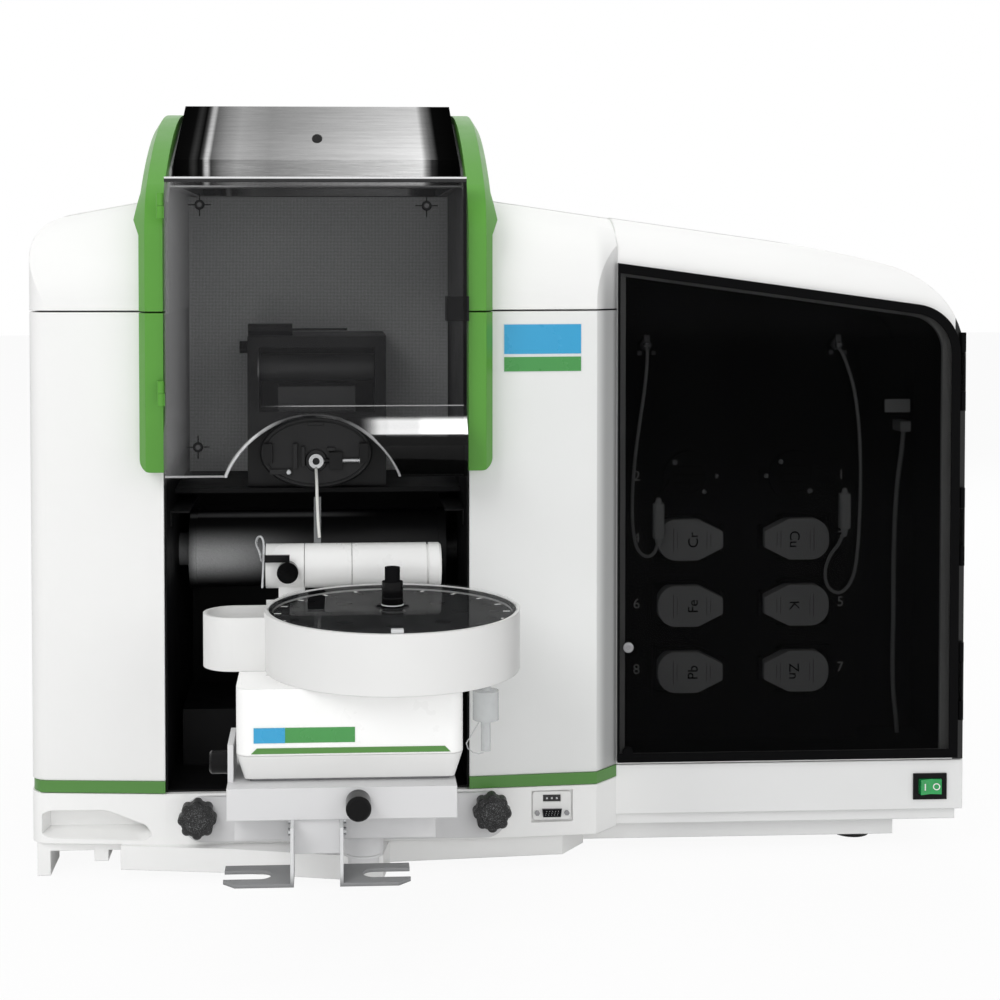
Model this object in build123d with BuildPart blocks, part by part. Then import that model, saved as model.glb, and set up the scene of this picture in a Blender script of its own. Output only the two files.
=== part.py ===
import os
from math import atan2, cos, degrees, pi, radians, sin, tan
from build123d import *

os.makedirs("parts", exist_ok=True)

# Atomic absorption spectrometer with its front mounted sampler.
# Millimetres, +Z up, front towards -Y, origin at the middle of the footprint on the bench.

# Overall frame
BODY_WIDTH = 953.0
BODY_DEPTH = 680.0
SAMPLER_REACH = 250.0
FRONT_Y = (SAMPLER_REACH - BODY_DEPTH) / 2
LEFT_X = -BODY_WIDTH / 2
RIGHT_X = BODY_WIDTH / 2
BENCH_Z = 0
WALL = 4.0
SHEET = 2.0
SEAT_GAP = 0.2
RUN_GAP = 0.5
REACH = 2 * BODY_WIDTH
QUARTER = 90.0
HALF_TURN = 180.0

# Sample bay, in the left half of the body
BAY_X = -190.0
BAY_HALF = 151.5
BAY_LEFT = BAY_X - BAY_HALF
BAY_RIGHT = BAY_X + BAY_HALF
BAY_DEEP = 330.0
BAY_FLOOR = 85.2

# Plan of the casing: depths behind the front line
PANEL_SET = 4.0
LEFT_SET = 15.0
RIGHT_SET = 14.0
BEVEL_START_X = 91.0
BEVEL_END_X = 115.0
DOOR_SET = 39.0
PLAN_CORNER = 20.0

# Front view of the casing: heights of the crown
FOOT_Z = 98.0
SEAM_Z = 565.0
SEAM_GAP = 1.6
LEFT_TOP_Z = 657.0
CROWN_Z = 681.0
SHOULDER_RADIUS = 40.0
CROWN_BREAK = (280.0, 635.5)
CROWN_TURN = (400.0, 610.0)
CROWN_FALL = (CROWN_Z - CROWN_BREAK[1]) / (CROWN_BREAK[0] - BAY_RIGHT)
TOP_ROUND = 88.0
RIM_ROUND = 50.0
RIM_EASE = 0.5

# Hump over the bay: cheeks, liner and chimney
CHEEK_INNER = 148.5
CHEEK_OUTER = 173.0
CHEEK_BULGE = 6.0
CHEEK_PROUD = 25.0
CHEEK_FOOT_Z = 409.0
CHEEK_BEND_Z = 640.0
CHEEK_BULGE_Z = 655.0
CHEEK_BULGE_END_Z = 682.0
CHEEK_BEVEL_WIDE = 7.0
CHEEK_BEVEL_DEEP = 20.0
CHEEK_TOE_RADIUS = 12.0
HUMP_KNEE = (0.0, 690.0)
HUMP_TOP = (204.0, 773.0)
HUMP_BACK = 440.0
HUMP_DROP = 60.0
CHIMNEY_HALF = 144.0
CHIMNEY_SET = 50.0
CHIMNEY_FOOT_Z = 690.0
CHIMNEY_BEND_Z = 717.0
CHIMNEY_TOP_SET = 195.0
CHIMNEY_TOP_Z = 783.0
CHIMNEY_BACK = 425.0
CHIMNEY_HOLE = 5.5
CHIMNEY_HOLE_Z = 742.0
FLUE_WIDE = 230.0
FLUE_DEEP = 160.0
FLUE_SLAT = 6.0
FLUE_SLAT_COUNT = 7
LINER_TUCK = 9.0

# Window across the bay
WINDOW_HALF = 146.0
WINDOW_TOP_Z = 691.0
WINDOW_SET = -35.0
WINDOW_THICK = 3.0
WINDOW_BEND_Z = 474.0
WINDOW_NOSE_Z = 437.0
WINDOW_NOSE_SET = -54.0
WINDOW_FOOT_Z = 406.0
WINDOW_FOOT_SET = -44.0
ARCH_LEFT = 87.0
ARCH_RIGHT = 80.0
ARCH_TOP_Z = 465.0
WINDOW_RAIL = 5.0
WINDOW_RAIL_DEEP = 9.0
WINDOW_SCREW_RADIUS = 3.6
WINDOW_SCREW_HEAD = 2.0
WINDOW_SCREWS = (
    (-112.0, WINDOW_SET, 669.0),
    (107.0, WINDOW_SET, 668.0),
    (-113.0, WINDOW_NOSE_SET, WINDOW_NOSE_Z),
)
HINGE_RADIUS = 3.5
HINGE_TALL = 12.0
HINGE_X = -340.2
HINGE_SET = -33.5
HINGE_LOW = (487.0, 668.0)
LATCH_WIDE = 22.0
LATCH_DEEP = 24.0
LATCH_LOW = 556.0
LATCH_TALL = 24.0

# Base
BASE_TOP = 85.0
BASE_MID = 34.0
BASE_RIGHT_TOP = 97.0
BASE_RIGHT_LOW = 46.0
BASE_FLOOR = 50.0
BASE_WALL = 6.0
NICHE_LEFT = -469.0
NICHE_RIGHT = -400.0
NICHE_STEP_X = -354.0
NICHE_TOP = 71.0
NICHE_STEP_TOP = 53.0
NICHE_DEEP = 26.0
NICHE_ROUND = 14.0
NICHE_TAPER = 12.0
LEFT_FOOT_WIDE = 13.0
LEFT_FOOT_DEEP = 60.0
LUG_X = -400.0
LUG_WIDE = 14.0
LUG_LOW = 14.0
SKIRT_LOW = 25.0
PROW_LOW = 10.0
PROW_LEFT = -386.0
PROW_RIGHT = 84.0
PROW_POINTS = ((-277.0, -11.0), (-164.0, -36.0), (-126.0, -36.0), (-118.0, 12.0), (58.0, 26.0))
PROW_BACK = 660.0
UNDER_RIGHT = 410.0
UNDER_SET = 60.0
UNDER_LOW = 14.0
UNDER_BLOCK_RIGHT = 438.0
TRIM_TALL = 12.0
TRIM_PROUD = 1.5
TRIM_DEEP = 8.0
FOOT_RADIUS = 19.0
FOOT_SPREAD_LEFT = -330.0
FOOT_SPREAD_RIGHT = 380.0
FOOT_FRONT = 110.0
FOOT_REAR = 620.0

# Fittings on the base front
STAR_RADIUS = 19.0
STAR_LOBES = 8
STAR_LOBE_RADIUS = 5.2
STAR_DEEP = 15.0
STAR_EDGE = 1.6
STAR_LEFT = (-309.0, 64.0)
STAR_RIGHT = (-17.0, 66.0)
STAR_SHAFT = 4.0
PORT_MIDDLE = (45.5, 64.5)
PORT_WIDE = 39.0
PORT_TALL = 29.0
PORT_RECESS = 3.0
PIN_SOCKET = (18.0, 7.0, 4.0)
D_SOCKET = (20.0, 8.0, 75.0)
SWITCH_MIDDLE = (442.0, 70.0)
SWITCH_WIDE = 35.0
SWITCH_TALL = 27.0
SWITCH_DEEP = 16.0
SWITCH_FRAME = 2.6
ROCKER_PROUD = 5.0
ROCKER_LEAN = 5.0
ROCKER_GAP = 1.2
ROCKER_BACK = 10.0
ROCKER_BORE = 1.2

# Mount that carries the sampler
PLATE_LEFT = -324.0
PLATE_RIGHT = -2.0
PLATE_LOW = 38.0
PLATE_TALL = 45.0
PLATE_THICK = 6.0
PLATE_ROUND = 20.0
TAB_LEFT = -262.0
TAB_RIGHT = -84.0
ARM_LOW = 104.0
ARM_TALL = 18.0
ARM_FRONT = -196.0
POST_X = -147.5
POST_SET = -168.0
SLEEVE_RADIUS = 18.0
SLEEVE_LOW = 84.0
POST_RADIUS = 14.0
POST_LOW = 70.0
RING_TALL = 2.4
DECK_LEFT = -267.0
DECK_RIGHT = -67.0
DECK_LOW = 131.0
DECK_TOP = 159.0
DECK_FRONT = -226.0
DECK_REAR = -24.0
DECK_WALL = 3.0
EAR_THICK = 5.0
EAR_TOP = 192.0
EAR_FRONT = -206.0
EAR_REAR = -150.0
SIDE_KNOB_RADIUS = 10.5
SIDE_KNOB_LONG = 17.0
SIDE_KNOB_SET = -180.0
SIDE_KNOB_Z = 170.0
FRONT_KNOB_X = -153.0
FRONT_KNOB_Z = 146.0
FRONT_KNOB_RADIUS = 11.0
FRONT_KNOB_LONG = 22.0
BLOCK_LEFT = -208.5
BLOCK_RIGHT = -169.0
BLOCK_LOW = 100.0
BLOCK_FRONT = -222.0
BLOCK_REAR = -200.0
FORK_SHEET = 3.0
FORK_LOW = 80.0
FORK_REACH = 58.0
FORK_FRONT = -248.0
FORK_REAR = -200.0
FORK_SLOT = 21.0
FORK_SLOT_LONG = 31.0
FORK_SCREW_RADIUS = 3.4
FORK_SCREW_HEAD = 2.6
FORK_SCREW_Z = (116.0, 126.0)

# Sampler
SLIDE_TALL = 3.0
BOX_LEFT = -259.5
BOX_RIGHT = -60.5
BOX_FRONT = -215.0
BOX_REAR = -26.0
BOX_SPLIT = 184.0
BOX_SHELL = 3.0
BOX_ROUND = 12.0
SKIRT_TAPER = 18.0
STRIPE_TALL = 5.0
STRIPE_LEFT = -246.0
STRIPE_RIGHT = -72.0
STRIPE_PROUD = 0.6
STRIPE_SLOPE = 45.0
TUB_X = -120.0
TUB_SET = -133.0
TUB_RADIUS = 117.0
TUB_LOW = 243.0
TUB_RIM = 297.0
TUB_WALL = 3.5
TUB_FLOOR = 4.0
WELL_X = -265.0
WELL_SET = -121.0
WELL_RADIUS = 29.0
WELL_RIM = 292.0
TRAY_RADIUS = 110.0
TRAY_TALL = 12.0
TRAY_TOP = 292.0
CUP_RADIUS = 5.0
CUP_RING = 94.0
CUP_COUNT = 20
CUP_DEEP = 3.6
INNER_CUP_RADIUS = 7.5
INNER_CUP_RING = 62.0
INNER_CUP_COUNT = 8
HUB_RADIUS = 9.5
HUB_TOP = 321.0
HUB_CAP_RADIUS = 7.0
HUB_CAP_TOP = 334.0
LID_THICK = 2.0
LID_RADIUS = 115.0
LID_HOLE = 16.0
LID_SLOT_WIDE = 16.0
NOZZLE_X = -34.0
NOZZLE_SET = -133.0
NOZZLE_NECK = 4.5
NOZZLE_RADIUS = 12.0
NOZZLE_TOP = 219.0
NOZZLE_LOW = 192.0
SPOUT_LOW = 163.0

# Horizontal turret that swings the probe
TURRET_Z = 311.0
TURRET_SET = 10.0
TURRET_RADIUS = 22.0
TURRET_LEFT = -241.0
TURRET_RIGHT = -67.0
SWING_LEFT = -202.5
SWING_RIGHT = -156.0
CAP_LEFT = -81.5
TURRET_CORE = 9.0
STAND_WIDE = 26.0
STAND_DEEP = 20.0
PROBE_X = -190.0
PROBE_WIDE = 7.0
PROBE_DEEP = 9.0
PROBE_REACH = 68.0
PROBE_LEAN = 14.0
TIP_RADIUS = 1.6
CLAMP_X = -219.0
CLAMP_Z = 309.0
CLAMP_RADIUS = 10.5
CLAMP_LONG = 9.0
WIRE_RADIUS = 1.2
STAND_FRONT = 0.0
STAND_LIFT = 6.0
ARC_SHARE = 0.45
WIRE_ROUTE = (
    (-244.3, -19.0, 320.5),
    (-246.3, -19.2, 330.0),
    (-250.0, -19.6, 338.0),
    (-248.5, -20.5, 344.5),
    (-244.5, -21.5, 346.0),
    (-242.0, -22.8, 340.5),
    (-242.2, -24.2, 329.0),
    (-242.6, -25.5, 312.0),
    (-243.5, -28.5, 296.0),
)
PROBE_ROUTE = (
    (-188.0, 10.7, 338.7),
    (-189.2, 14.5, 351.1),
    (-189.8, 18.7, 365.5),
    (-190.4, 22.8, 378.9),
    (-190.6, 28.0, 390.0),
    (-191.0, 37.5, 397.5),
    (-191.5, 48.5, 402.2),
)

# Furnace group
SHELF_Z = 372.0
SHELF_SET = 100.0
SHELF_THICK = 5.0
FURNACE_LEFT = -264.0
FURNACE_RIGHT = -118.0
FURNACE_TOP = 535.0
FURNACE_FRONT = 115.0
FURNACE_REAR = 240.0
SCREEN_SET = 250.0
SCREEN_SHEET = 1.5
SCREEN_TOP = 686.0
FURNACE_WALL = 12.0
FURNACE_MOUTH_LOW = 455.0
FURNACE_MOUTH_TOP = 523.0
FURNACE_MOUTH_DEEP = 55.0
CORE_RADIUS = 15.0
CORE_Z = 500.0
CORE_BLOCK = 26.0
CORE_BLOCK_HALF = 41.0
LEVER_RADIUS = 6.5
LEVER_GRIP = 47.0
LEVER_SHAFT = 58.0
CONTACT_X = -191.5
CONTACT_Z = 418.0
CONTACT_WIDE = 58.0
CONTACT_TALL = 37.0
CONTACT_FRONT = 62.0
CONTACT_DEEP = 16.0
CONTACT_NECK = 30.0
CONE_RADIUS = 7.5
CONE_BORE = 3.6
CONE_Z = 410.0
PIN_RADIUS = 2.4
CONE_LONG = 9.0
JAW_WIDE = 9.0
JAW_TALL = 20.0
DRUM_Z = 304.0
DRUM_SET = 161.0
DRUM_RADIUS = 41.0
DRUM_LEFT = -327.0
DRUM_RIGHT = -54.0
DRUM_FLANGE = 8.0
DRUM_STUB = 18.0
PUMP_BOX = (-332.0, -275.0, 146.0)
PUMP_FRONT = 96.0
PUMP_DEEP = 120.0
RAIL_Z = 360.0
RAIL_SET = 40.0
RAIL_TALL = 14.0
RAIL_LONG = 120.0
RAIL_WIDE = 20.0

# Lamp bay and its door
LAMP_LEFT = 124.0
LAMP_RIGHT = 452.0
LAMP_LOW = 108.0
LAMP_DEEP = 210.0
LAMP_TOP = 598.0
LAMP_CORNER = 36.0
BOARD_SET = 86.0
BOARD_RIGHT = 380.0
BOARD_THICK = 3.0
SERVICE_SET = 128.0
SERVICE_TOP = 530.0
LAMP_COLUMNS = (198.0, 310.0)
LAMP_ROWS = (388.0, 323.0, 253.5, 184.0)
LAMP_HALF_WIDE = 34.0
LAMP_HALF_TALL = 21.5
LAMP_FACE = 70.0
LAMP_STEM = 100.0
LAMP_ROUND = 19.0
LAMP_CUT = 13.0
HOLDER_RIM = 4.0
HOLDER_DEEP = 9.0
BEZEL_RADIUS = 27.0
BEZEL_HOLE = 17.0
BEZEL_DEEP = 8.0
BEZEL_EAR = 7.0
JACK_Z = 525.0
JACK_X = (151.0, 352.0)
JACK_RADIUS = 7.0
JACK_FRONT = 76.0
LEAD_RADIUS = 1.7
PLUG_WIDE = 11.0
PLUG_TALL = 36.0
PLUG_SET = 59.0
PLUG_PLACES = ((357.0, 336.0), (162.0, 327.0))
LEAD_ONE_ROUTE = (
    (352.0, 76.0, 525.0),
    (352.5, 64.0, 523.5),
    (358.0, 58.0, 508.0),
    (366.5, 57.0, 480.0),
    (371.5, 57.0, 440.0),
    (373.2, 57.0, 396.0),
    (372.6, 57.0, 352.0),
    (370.5, 57.0, 310.0),
    (366.0, 57.0, 282.0),
    (353.0, 57.0, 266.5),
    (339.0, 57.5, 273.0),
    (335.5, 58.0, 291.0),
    (342.0, 58.5, 309.0),
    (354.0, 59.0, 322.0),
    (357.0, 59.0, 336.0),
)
LEAD_ONE_TAIL = (
    (357.0, 59.0, 372.0),
    (355.8, 59.4, 382.0),
    (348.0, 62.0, 391.0),
    (338.0, 65.0, 396.5),
    (331.5, 70.0, 398.5),
    (329.8, 77.6, 398.0),
)
LEAD_TWO_ROUTE = (
    (151.0, 76.0, 525.0),
    (151.0, 64.0, 523.5),
    (149.5, 58.0, 508.0),
    (147.0, 57.0, 482.0),
    (141.5, 57.0, 446.0),
    (136.5, 57.0, 408.0),
    (134.0, 57.0, 370.0),
    (134.5, 57.0, 338.0),
    (139.0, 57.5, 315.0),
    (150.0, 58.0, 306.5),
    (160.0, 59.0, 313.0),
    (162.0, 59.0, 327.0),
)
LEAD_TWO_TAIL = (
    (162.0, 59.0, 363.3),
    (163.0, 59.8, 371.0),
    (168.0, 63.0, 380.0),
    (174.0, 70.0, 384.3),
    (175.8, 77.6, 385.5),
)
SERVICE_ROUTE = (
    (434.0, 106.0, 432.0),
    (432.5, 106.0, 412.0),
    (428.0, 106.5, 380.0),
    (425.5, 107.0, 336.0),
    (424.5, 107.0, 288.0),
    (425.0, 107.0, 238.0),
    (424.0, 107.0, 190.0),
    (425.0, 107.0, 150.0),
    (428.5, 106.0, 122.0),
    (429.0, 106.0, 108.0),
)
SERVICE_RADIUS = 2.4
SERVICE_X = 434.0
SERVICE_Z = 432.0
SERVICE_FRONT = 99.0
DOOR_LEFT = 115.5
DOOR_RIGHT = 469.0
DOOR_LOW = 101.0
DOOR_TOP = 612.0
DOOR_FALL = 0.138
DOOR_CORNER = 50.0
DOOR_THICK = 5.0
DOOR_TRIM = 9.0
DOOR_TRIM_THICK = 1.5
DOOR_AXIS_X = 472.6
DOOR_AXIS_SET = 35.8
DOOR_HINGE_RADIUS = 3.0
DOOR_HINGE_TALL = 40.0
DOOR_HINGE_Z = (160.0, 320.0, 480.0)
CATCH_RADIUS = 5.5
CATCH_DEEP = 3.0
CATCH_POINTS = ((126.0, 220.0), (126.0, 112.0))

# Back
GRILLE_WIDE = 120.0
GRILLE_SLOTS = 9
GRILLE_SLOT_TALL = 6.0
GRILLE_PITCH = 13.0
GRILLE_X = 200.0
GRILLE_Z = 420.0
INLET_X = 380.0
INLET_Z = 150.0
INLET_WIDE = 50.0
INLET_TALL = 34.0
INLET_DEEP = 22.0
GAS_X = (-380.0, -340.0, -300.0)
GAS_Z = 160.0
GAS_RADIUS = 8.0
GAS_LONG = 12.0


def facing(depth):
    """Upright drawing plane seen from the front, a depth behind the front line."""
    return Plane.XZ.offset(-(FRONT_Y + depth))


def level(height):
    """Level drawing plane at a height."""
    return Plane.XY.offset(height)


def beside(x):
    """Upright drawing plane seen from the right."""
    return Plane.YZ.offset(x)


def deep(depth):
    """World Y of a depth behind the front line."""
    return FRONT_Y + depth


def save(solid, name):
    solid.label = name
    export_step(solid, "parts/" + name + ".step")


def slab(x_from, x_to, depth_from, depth_to, z_from, z_to, mode=Mode.ADD):
    """Plain block between two X, two depths and two heights, added or cut."""
    middle = ((x_from + x_to) / 2, deep((depth_from + depth_to) / 2), (z_from + z_to) / 2)
    with Locations(middle):
        Box(x_to - x_from, depth_to - depth_from, z_to - z_from, mode=mode)


def bar_x(x_from, x_to, depth, height, radius, mode=Mode.ADD):
    """Round bar lying along X."""
    with Locations(Location(((x_from + x_to) / 2, deep(depth), height), (0, QUARTER, 0))):
        Cylinder(radius, x_to - x_from, mode=mode)


def bar_y(x, depth_from, depth_to, height, radius, mode=Mode.ADD):
    """Round bar pointing from front to back."""
    with Locations(Location((x, deep((depth_from + depth_to) / 2), height), (QUARTER, 0, 0))):
        Cylinder(radius, depth_to - depth_from, mode=mode)


def bar_z(x, depth, z_from, z_to, radius, mode=Mode.ADD):
    """Upright round bar."""
    with Locations((x, deep(depth), (z_from + z_to) / 2)):
        Cylinder(radius, z_to - z_from, mode=mode)


def casing_form(inset):
    """Solid outer form of the casing, drawn in by a wall."""
    with BuildPart() as form:
        with BuildSketch(level(FOOT_Z)):
            with BuildLine():
                Polyline(
                    (LEFT_X, deep(LEFT_SET)),
                    (BAY_LEFT, deep(PANEL_SET)),
                    (BAY_RIGHT, deep(PANEL_SET)),
                    (BEVEL_START_X, deep(RIGHT_SET)),
                    (BEVEL_END_X, deep(DOOR_SET)),
                    (RIGHT_X, deep(DOOR_SET)),
                    (RIGHT_X, deep(BODY_DEPTH)),
                    (LEFT_X, deep(BODY_DEPTH)),
                    close=True,
                )
            face = make_face()
            corner = face.vertices().sort_by_distance((LEFT_X, deep(LEFT_SET)))[0]
            fillet(corner, PLAN_CORNER)
            if inset:
                offset(amount=-inset, mode=Mode.REPLACE)
        extrude(amount=REACH)
        with BuildSketch(facing(-SAMPLER_REACH)):
            with BuildLine():
                Line((BAY_RIGHT, CROWN_Z), CROWN_BREAK)
                easy = TangentArc(CROWN_BREAK, CROWN_TURN, tangent=(1, -CROWN_FALL))
                bend = easy % 1
                turn = (RIGHT_X - CROWN_TURN[0]) / (1 + bend.Y)
                end = JernArc(CROWN_TURN, bend, turn, degrees(atan2(-bend.Y, bend.X)) - QUARTER)
                Polyline(end @ 1, (RIGHT_X, -FOOT_Z), (LEFT_X, -FOOT_Z), (LEFT_X, LEFT_TOP_Z))
                Polyline((LEFT_X, LEFT_TOP_Z), (BAY_LEFT, CROWN_Z), (BAY_RIGHT, CROWN_Z))
            crown = make_face()
            shoulder = crown.vertices().sort_by_distance((LEFT_X, LEFT_TOP_Z))[0]
            fillet(shoulder, SHOULDER_RADIUS)
            if inset:
                offset(amount=-inset, mode=Mode.REPLACE)
        extrude(amount=-REACH, mode=Mode.INTERSECT)
    return form.part


def crown_height(x):
    """Height of the straight part of the crown, carried on to the right."""
    return CROWN_Z - CROWN_FALL * (x - BAY_RIGHT)


def round_over(start, end, radius, inset, keep):
    """Tool that rounds the top front edge from start to end, kept between two X."""
    run = Vector(*end) - Vector(*start)
    into = Vector(-run.Y, run.X, 0).normalized()
    origin = Vector(*start) + into * inset - Vector(0, 0, inset) - run
    small = radius - inset
    with BuildPart() as tool:
        with BuildSketch(Plane(origin=origin, x_dir=into, z_dir=run)):
            with Locations((small, -small)):
                Rectangle(2 * small, 2 * small, align=(Align.MAX, Align.MIN))
                Circle(small, mode=Mode.SUBTRACT)
        extrude(amount=3 * run.length)
        slab(keep[0], keep[1], -REACH, REACH, -REACH, REACH, Mode.INTERSECT)
    return tool.part


def casing(inset):
    """Casing form with its three rounded top front edges."""
    raw = casing_form(inset)
    left_end = (LEFT_X, deep(LEFT_SET), LEFT_TOP_Z)
    bay_start = (BAY_LEFT, deep(PANEL_SET), CROWN_Z)
    bay_end = (BAY_RIGHT, deep(PANEL_SET), CROWN_Z)
    bevel_top = (BEVEL_START_X, deep(RIGHT_SET), crown_height(BEVEL_START_X))
    rim_start = (BEVEL_END_X, deep(DOOR_SET), crown_height(BEVEL_END_X) - RIM_EASE)
    rim_end = (RIGHT_X, deep(DOOR_SET), crown_height(RIGHT_X) - RIM_EASE)
    bevel_inset = BEVEL_END_X - inset / 2
    left = round_over(left_end, bay_start, TOP_ROUND, inset, (LEFT_X - WALL, BAY_LEFT + WALL))
    middle = round_over(bay_end, bevel_top, TOP_ROUND, inset, (BAY_RIGHT - WALL, bevel_inset))
    right = round_over(rim_start, rim_end, RIM_ROUND, inset, (bevel_inset, RIGHT_X + WALL))
    with BuildPart() as shaped:
        add(raw)
        for tool in (left, middle, right):
            add(tool, mode=Mode.SUBTRACT)
    return shaped.part


def bay_outline(left, right, low, top_left, corner):
    """Outline below the crown with a sloping top and a rounded right shoulder."""
    top_right = top_left - DOOR_FALL * (right - left)
    outline = Polygon((left, low), (right, low), (right, top_right), (left, top_left), align=None)
    fillet(outline.vertices().sort_by_distance((right, top_right))[0], corner)


def cheek_line():
    """Front line of a cheek from its foot over the hump, in the side view."""
    start = (deep(-CHEEK_PROUD), CHEEK_BEND_Z)
    top = (deep(HUMP_TOP[0]), HUMP_TOP[1])
    back = (deep(HUMP_BACK - HUMP_DROP), HUMP_TOP[1])
    Line((deep(-CHEEK_PROUD), CHEEK_FOOT_Z), start)
    shin = TangentArc(start, (deep(HUMP_KNEE[0]), HUMP_KNEE[1]), tangent=(0, 1))
    slope = TangentArc(shin @ 1, top, tangent=shin % 1)
    TangentArc(slope @ 1, back, tangent=slope % 1)
    Line(back, (deep(HUMP_BACK), CROWN_Z - HUMP_DROP / 2))
    Line((deep(HUMP_BACK), CROWN_Z - HUMP_DROP / 2), (deep(HUMP_BACK), CHEEK_FOOT_Z))
    Line((deep(HUMP_BACK), CHEEK_FOOT_Z), (deep(-CHEEK_PROUD), CHEEK_FOOT_Z))


def cheek(hand):
    """Whole green cheek on the left (-1) or the right (1) of the bay."""
    outer = BAY_X + hand * (CHEEK_OUTER + CHEEK_BULGE)
    inner = BAY_X + hand * CHEEK_INNER
    edge = BAY_X + hand * CHEEK_OUTER
    with BuildPart() as shape:
        with BuildSketch(beside(inner)):
            with BuildLine():
                cheek_line()
            make_face()
        extrude(amount=outer - inner)
        front = shape.edges().filter_by_position(Axis.X, outer - SEAT_GAP, outer + SEAT_GAP)
        front = front.filter_by_position(Axis.Z, CHEEK_FOOT_Z + SEAT_GAP, REACH)
        front = front.filter_by_position(Axis.Y, -REACH, deep(HUMP_BACK - HUMP_DROP) + SEAT_GAP)
        side = shape.faces().filter_by_position(Axis.X, outer - SEAT_GAP, outer + SEAT_GAP)[0]
        wide = CHEEK_BEVEL_WIDE + CHEEK_BULGE
        chamfer(front, length=CHEEK_BEVEL_DEEP, length2=wide, reference=side)
        with BuildSketch(facing(-SAMPLER_REACH)):
            with BuildLine():
                Polyline(
                    (inner, CHEEK_FOOT_Z),
                    (edge, CHEEK_FOOT_Z),
                    (edge, CHEEK_BEND_Z),
                    (outer, CHEEK_BULGE_Z),
                    (edge, CHEEK_BULGE_END_Z),
                    (edge, REACH),
                    (inner, REACH),
                    close=True,
                )
            outline = make_face()
            toe = outline.vertices().sort_by_distance((edge, CHEEK_FOOT_Z))[0]
            fillet(toe, CHEEK_TOE_RADIUS)
        extrude(amount=-REACH, mode=Mode.INTERSECT)
    return shape.part


casing_outer = casing(0)
casing_inner = casing(WALL)
cheek_left = cheek(-1)
cheek_right = cheek(1)

# Green cheeks, split at the seam; the lower halves sit on the front of the panels
with BuildPart() as cheeks_upper:
    add(cheek_left)
    add(cheek_right)
    slab(LEFT_X, RIGHT_X, -SAMPLER_REACH, BODY_DEPTH, BENCH_Z, SEAM_Z + SEAM_GAP / 2, Mode.SUBTRACT)
save(cheeks_upper.part, "cheeks_upper")

with BuildPart() as cheeks_lower:
    add(cheek_left)
    add(cheek_right)
    slab(LEFT_X, RIGHT_X, -SAMPLER_REACH, BODY_DEPTH, SEAM_Z - SEAM_GAP / 2, REACH, Mode.SUBTRACT)
    add(casing_outer, mode=Mode.SUBTRACT)
    slab(LEFT_X, RIGHT_X, TOP_ROUND, BODY_DEPTH, BENCH_Z, REACH, Mode.SUBTRACT)
save(cheeks_lower.part, "cheeks_lower")

# White casing: one moulded cover over the top and right, and three panels below the seam
with BuildPart() as main_cover:
    add(casing_outer)
    add(casing_inner, mode=Mode.SUBTRACT)
    slab(
        LEFT_X - WALL,
        BEVEL_END_X,
        -WALL,
        BODY_DEPTH + WALL,
        BENCH_Z,
        SEAM_Z + SEAM_GAP / 2,
        Mode.SUBTRACT,
    )
    slab(LEFT_X - WALL, RIGHT_X + WALL, BODY_DEPTH - WALL, BODY_DEPTH + WALL, BENCH_Z, REACH, Mode.SUBTRACT)
    slab(BAY_X - CHEEK_OUTER, BAY_X + CHEEK_OUTER, -WALL, HUMP_BACK, BENCH_Z, REACH, Mode.SUBTRACT)
    add(cheek_left, mode=Mode.SUBTRACT)
    add(cheek_right, mode=Mode.SUBTRACT)
    with BuildSketch(facing(0)):
        bay_outline(LAMP_LEFT, LAMP_RIGHT, LAMP_LOW, LAMP_TOP, LAMP_CORNER)
    extrude(amount=-TOP_ROUND, mode=Mode.SUBTRACT)
save(main_cover.part, "main_cover")

with BuildPart() as left_panel:
    add(casing_outer)
    add(casing_inner, mode=Mode.SUBTRACT)
    slab(BAY_LEFT, RIGHT_X + WALL, -WALL, BODY_DEPTH + WALL, BENCH_Z, REACH, Mode.SUBTRACT)
    slab(LEFT_X - WALL, RIGHT_X, -WALL, BODY_DEPTH + WALL, SEAM_Z - SEAM_GAP / 2, REACH, Mode.SUBTRACT)
    slab(LEFT_X - WALL, RIGHT_X, BODY_DEPTH - WALL, BODY_DEPTH + WALL, BENCH_Z, REACH, Mode.SUBTRACT)
save(left_panel.part, "left_panel")

with BuildPart() as right_panel:
    add(casing_outer)
    add(casing_inner, mode=Mode.SUBTRACT)
    slab(LEFT_X - WALL, BAY_RIGHT, -WALL, BODY_DEPTH + WALL, BENCH_Z, REACH, Mode.SUBTRACT)
    slab(BEVEL_END_X, RIGHT_X + WALL, -WALL, BODY_DEPTH + WALL, BENCH_Z, REACH, Mode.SUBTRACT)
    slab(LEFT_X - WALL, RIGHT_X, -WALL, BODY_DEPTH + WALL, SEAM_Z - SEAM_GAP / 2, REACH, Mode.SUBTRACT)
    slab(LEFT_X - WALL, RIGHT_X, TOP_ROUND, BODY_DEPTH + WALL, BENCH_Z, REACH, Mode.SUBTRACT)
save(right_panel.part, "right_panel")

with BuildPart() as back_panel:
    add(casing_outer)
    slab(LEFT_X - WALL, RIGHT_X + WALL, -WALL, BODY_DEPTH - WALL, BENCH_Z, REACH, Mode.SUBTRACT)
    for slot in range(GRILLE_SLOTS):
        height = GRILLE_Z + (slot - (GRILLE_SLOTS - 1) / 2) * GRILLE_PITCH
        with Locations((GRILLE_X, deep(BODY_DEPTH), height)):
            Box(GRILLE_WIDE, 2 * WALL + SHEET, GRILLE_SLOT_TALL, mode=Mode.SUBTRACT)
    with Locations((INLET_X, deep(BODY_DEPTH), INLET_Z)):
        Box(INLET_WIDE, 2 * WALL + SHEET, INLET_TALL, mode=Mode.SUBTRACT)
    for port_x in GAS_X:
        bar_y(port_x, BODY_DEPTH - 2 * WALL, BODY_DEPTH + WALL, GAS_Z, GAS_RADIUS, Mode.SUBTRACT)
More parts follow.
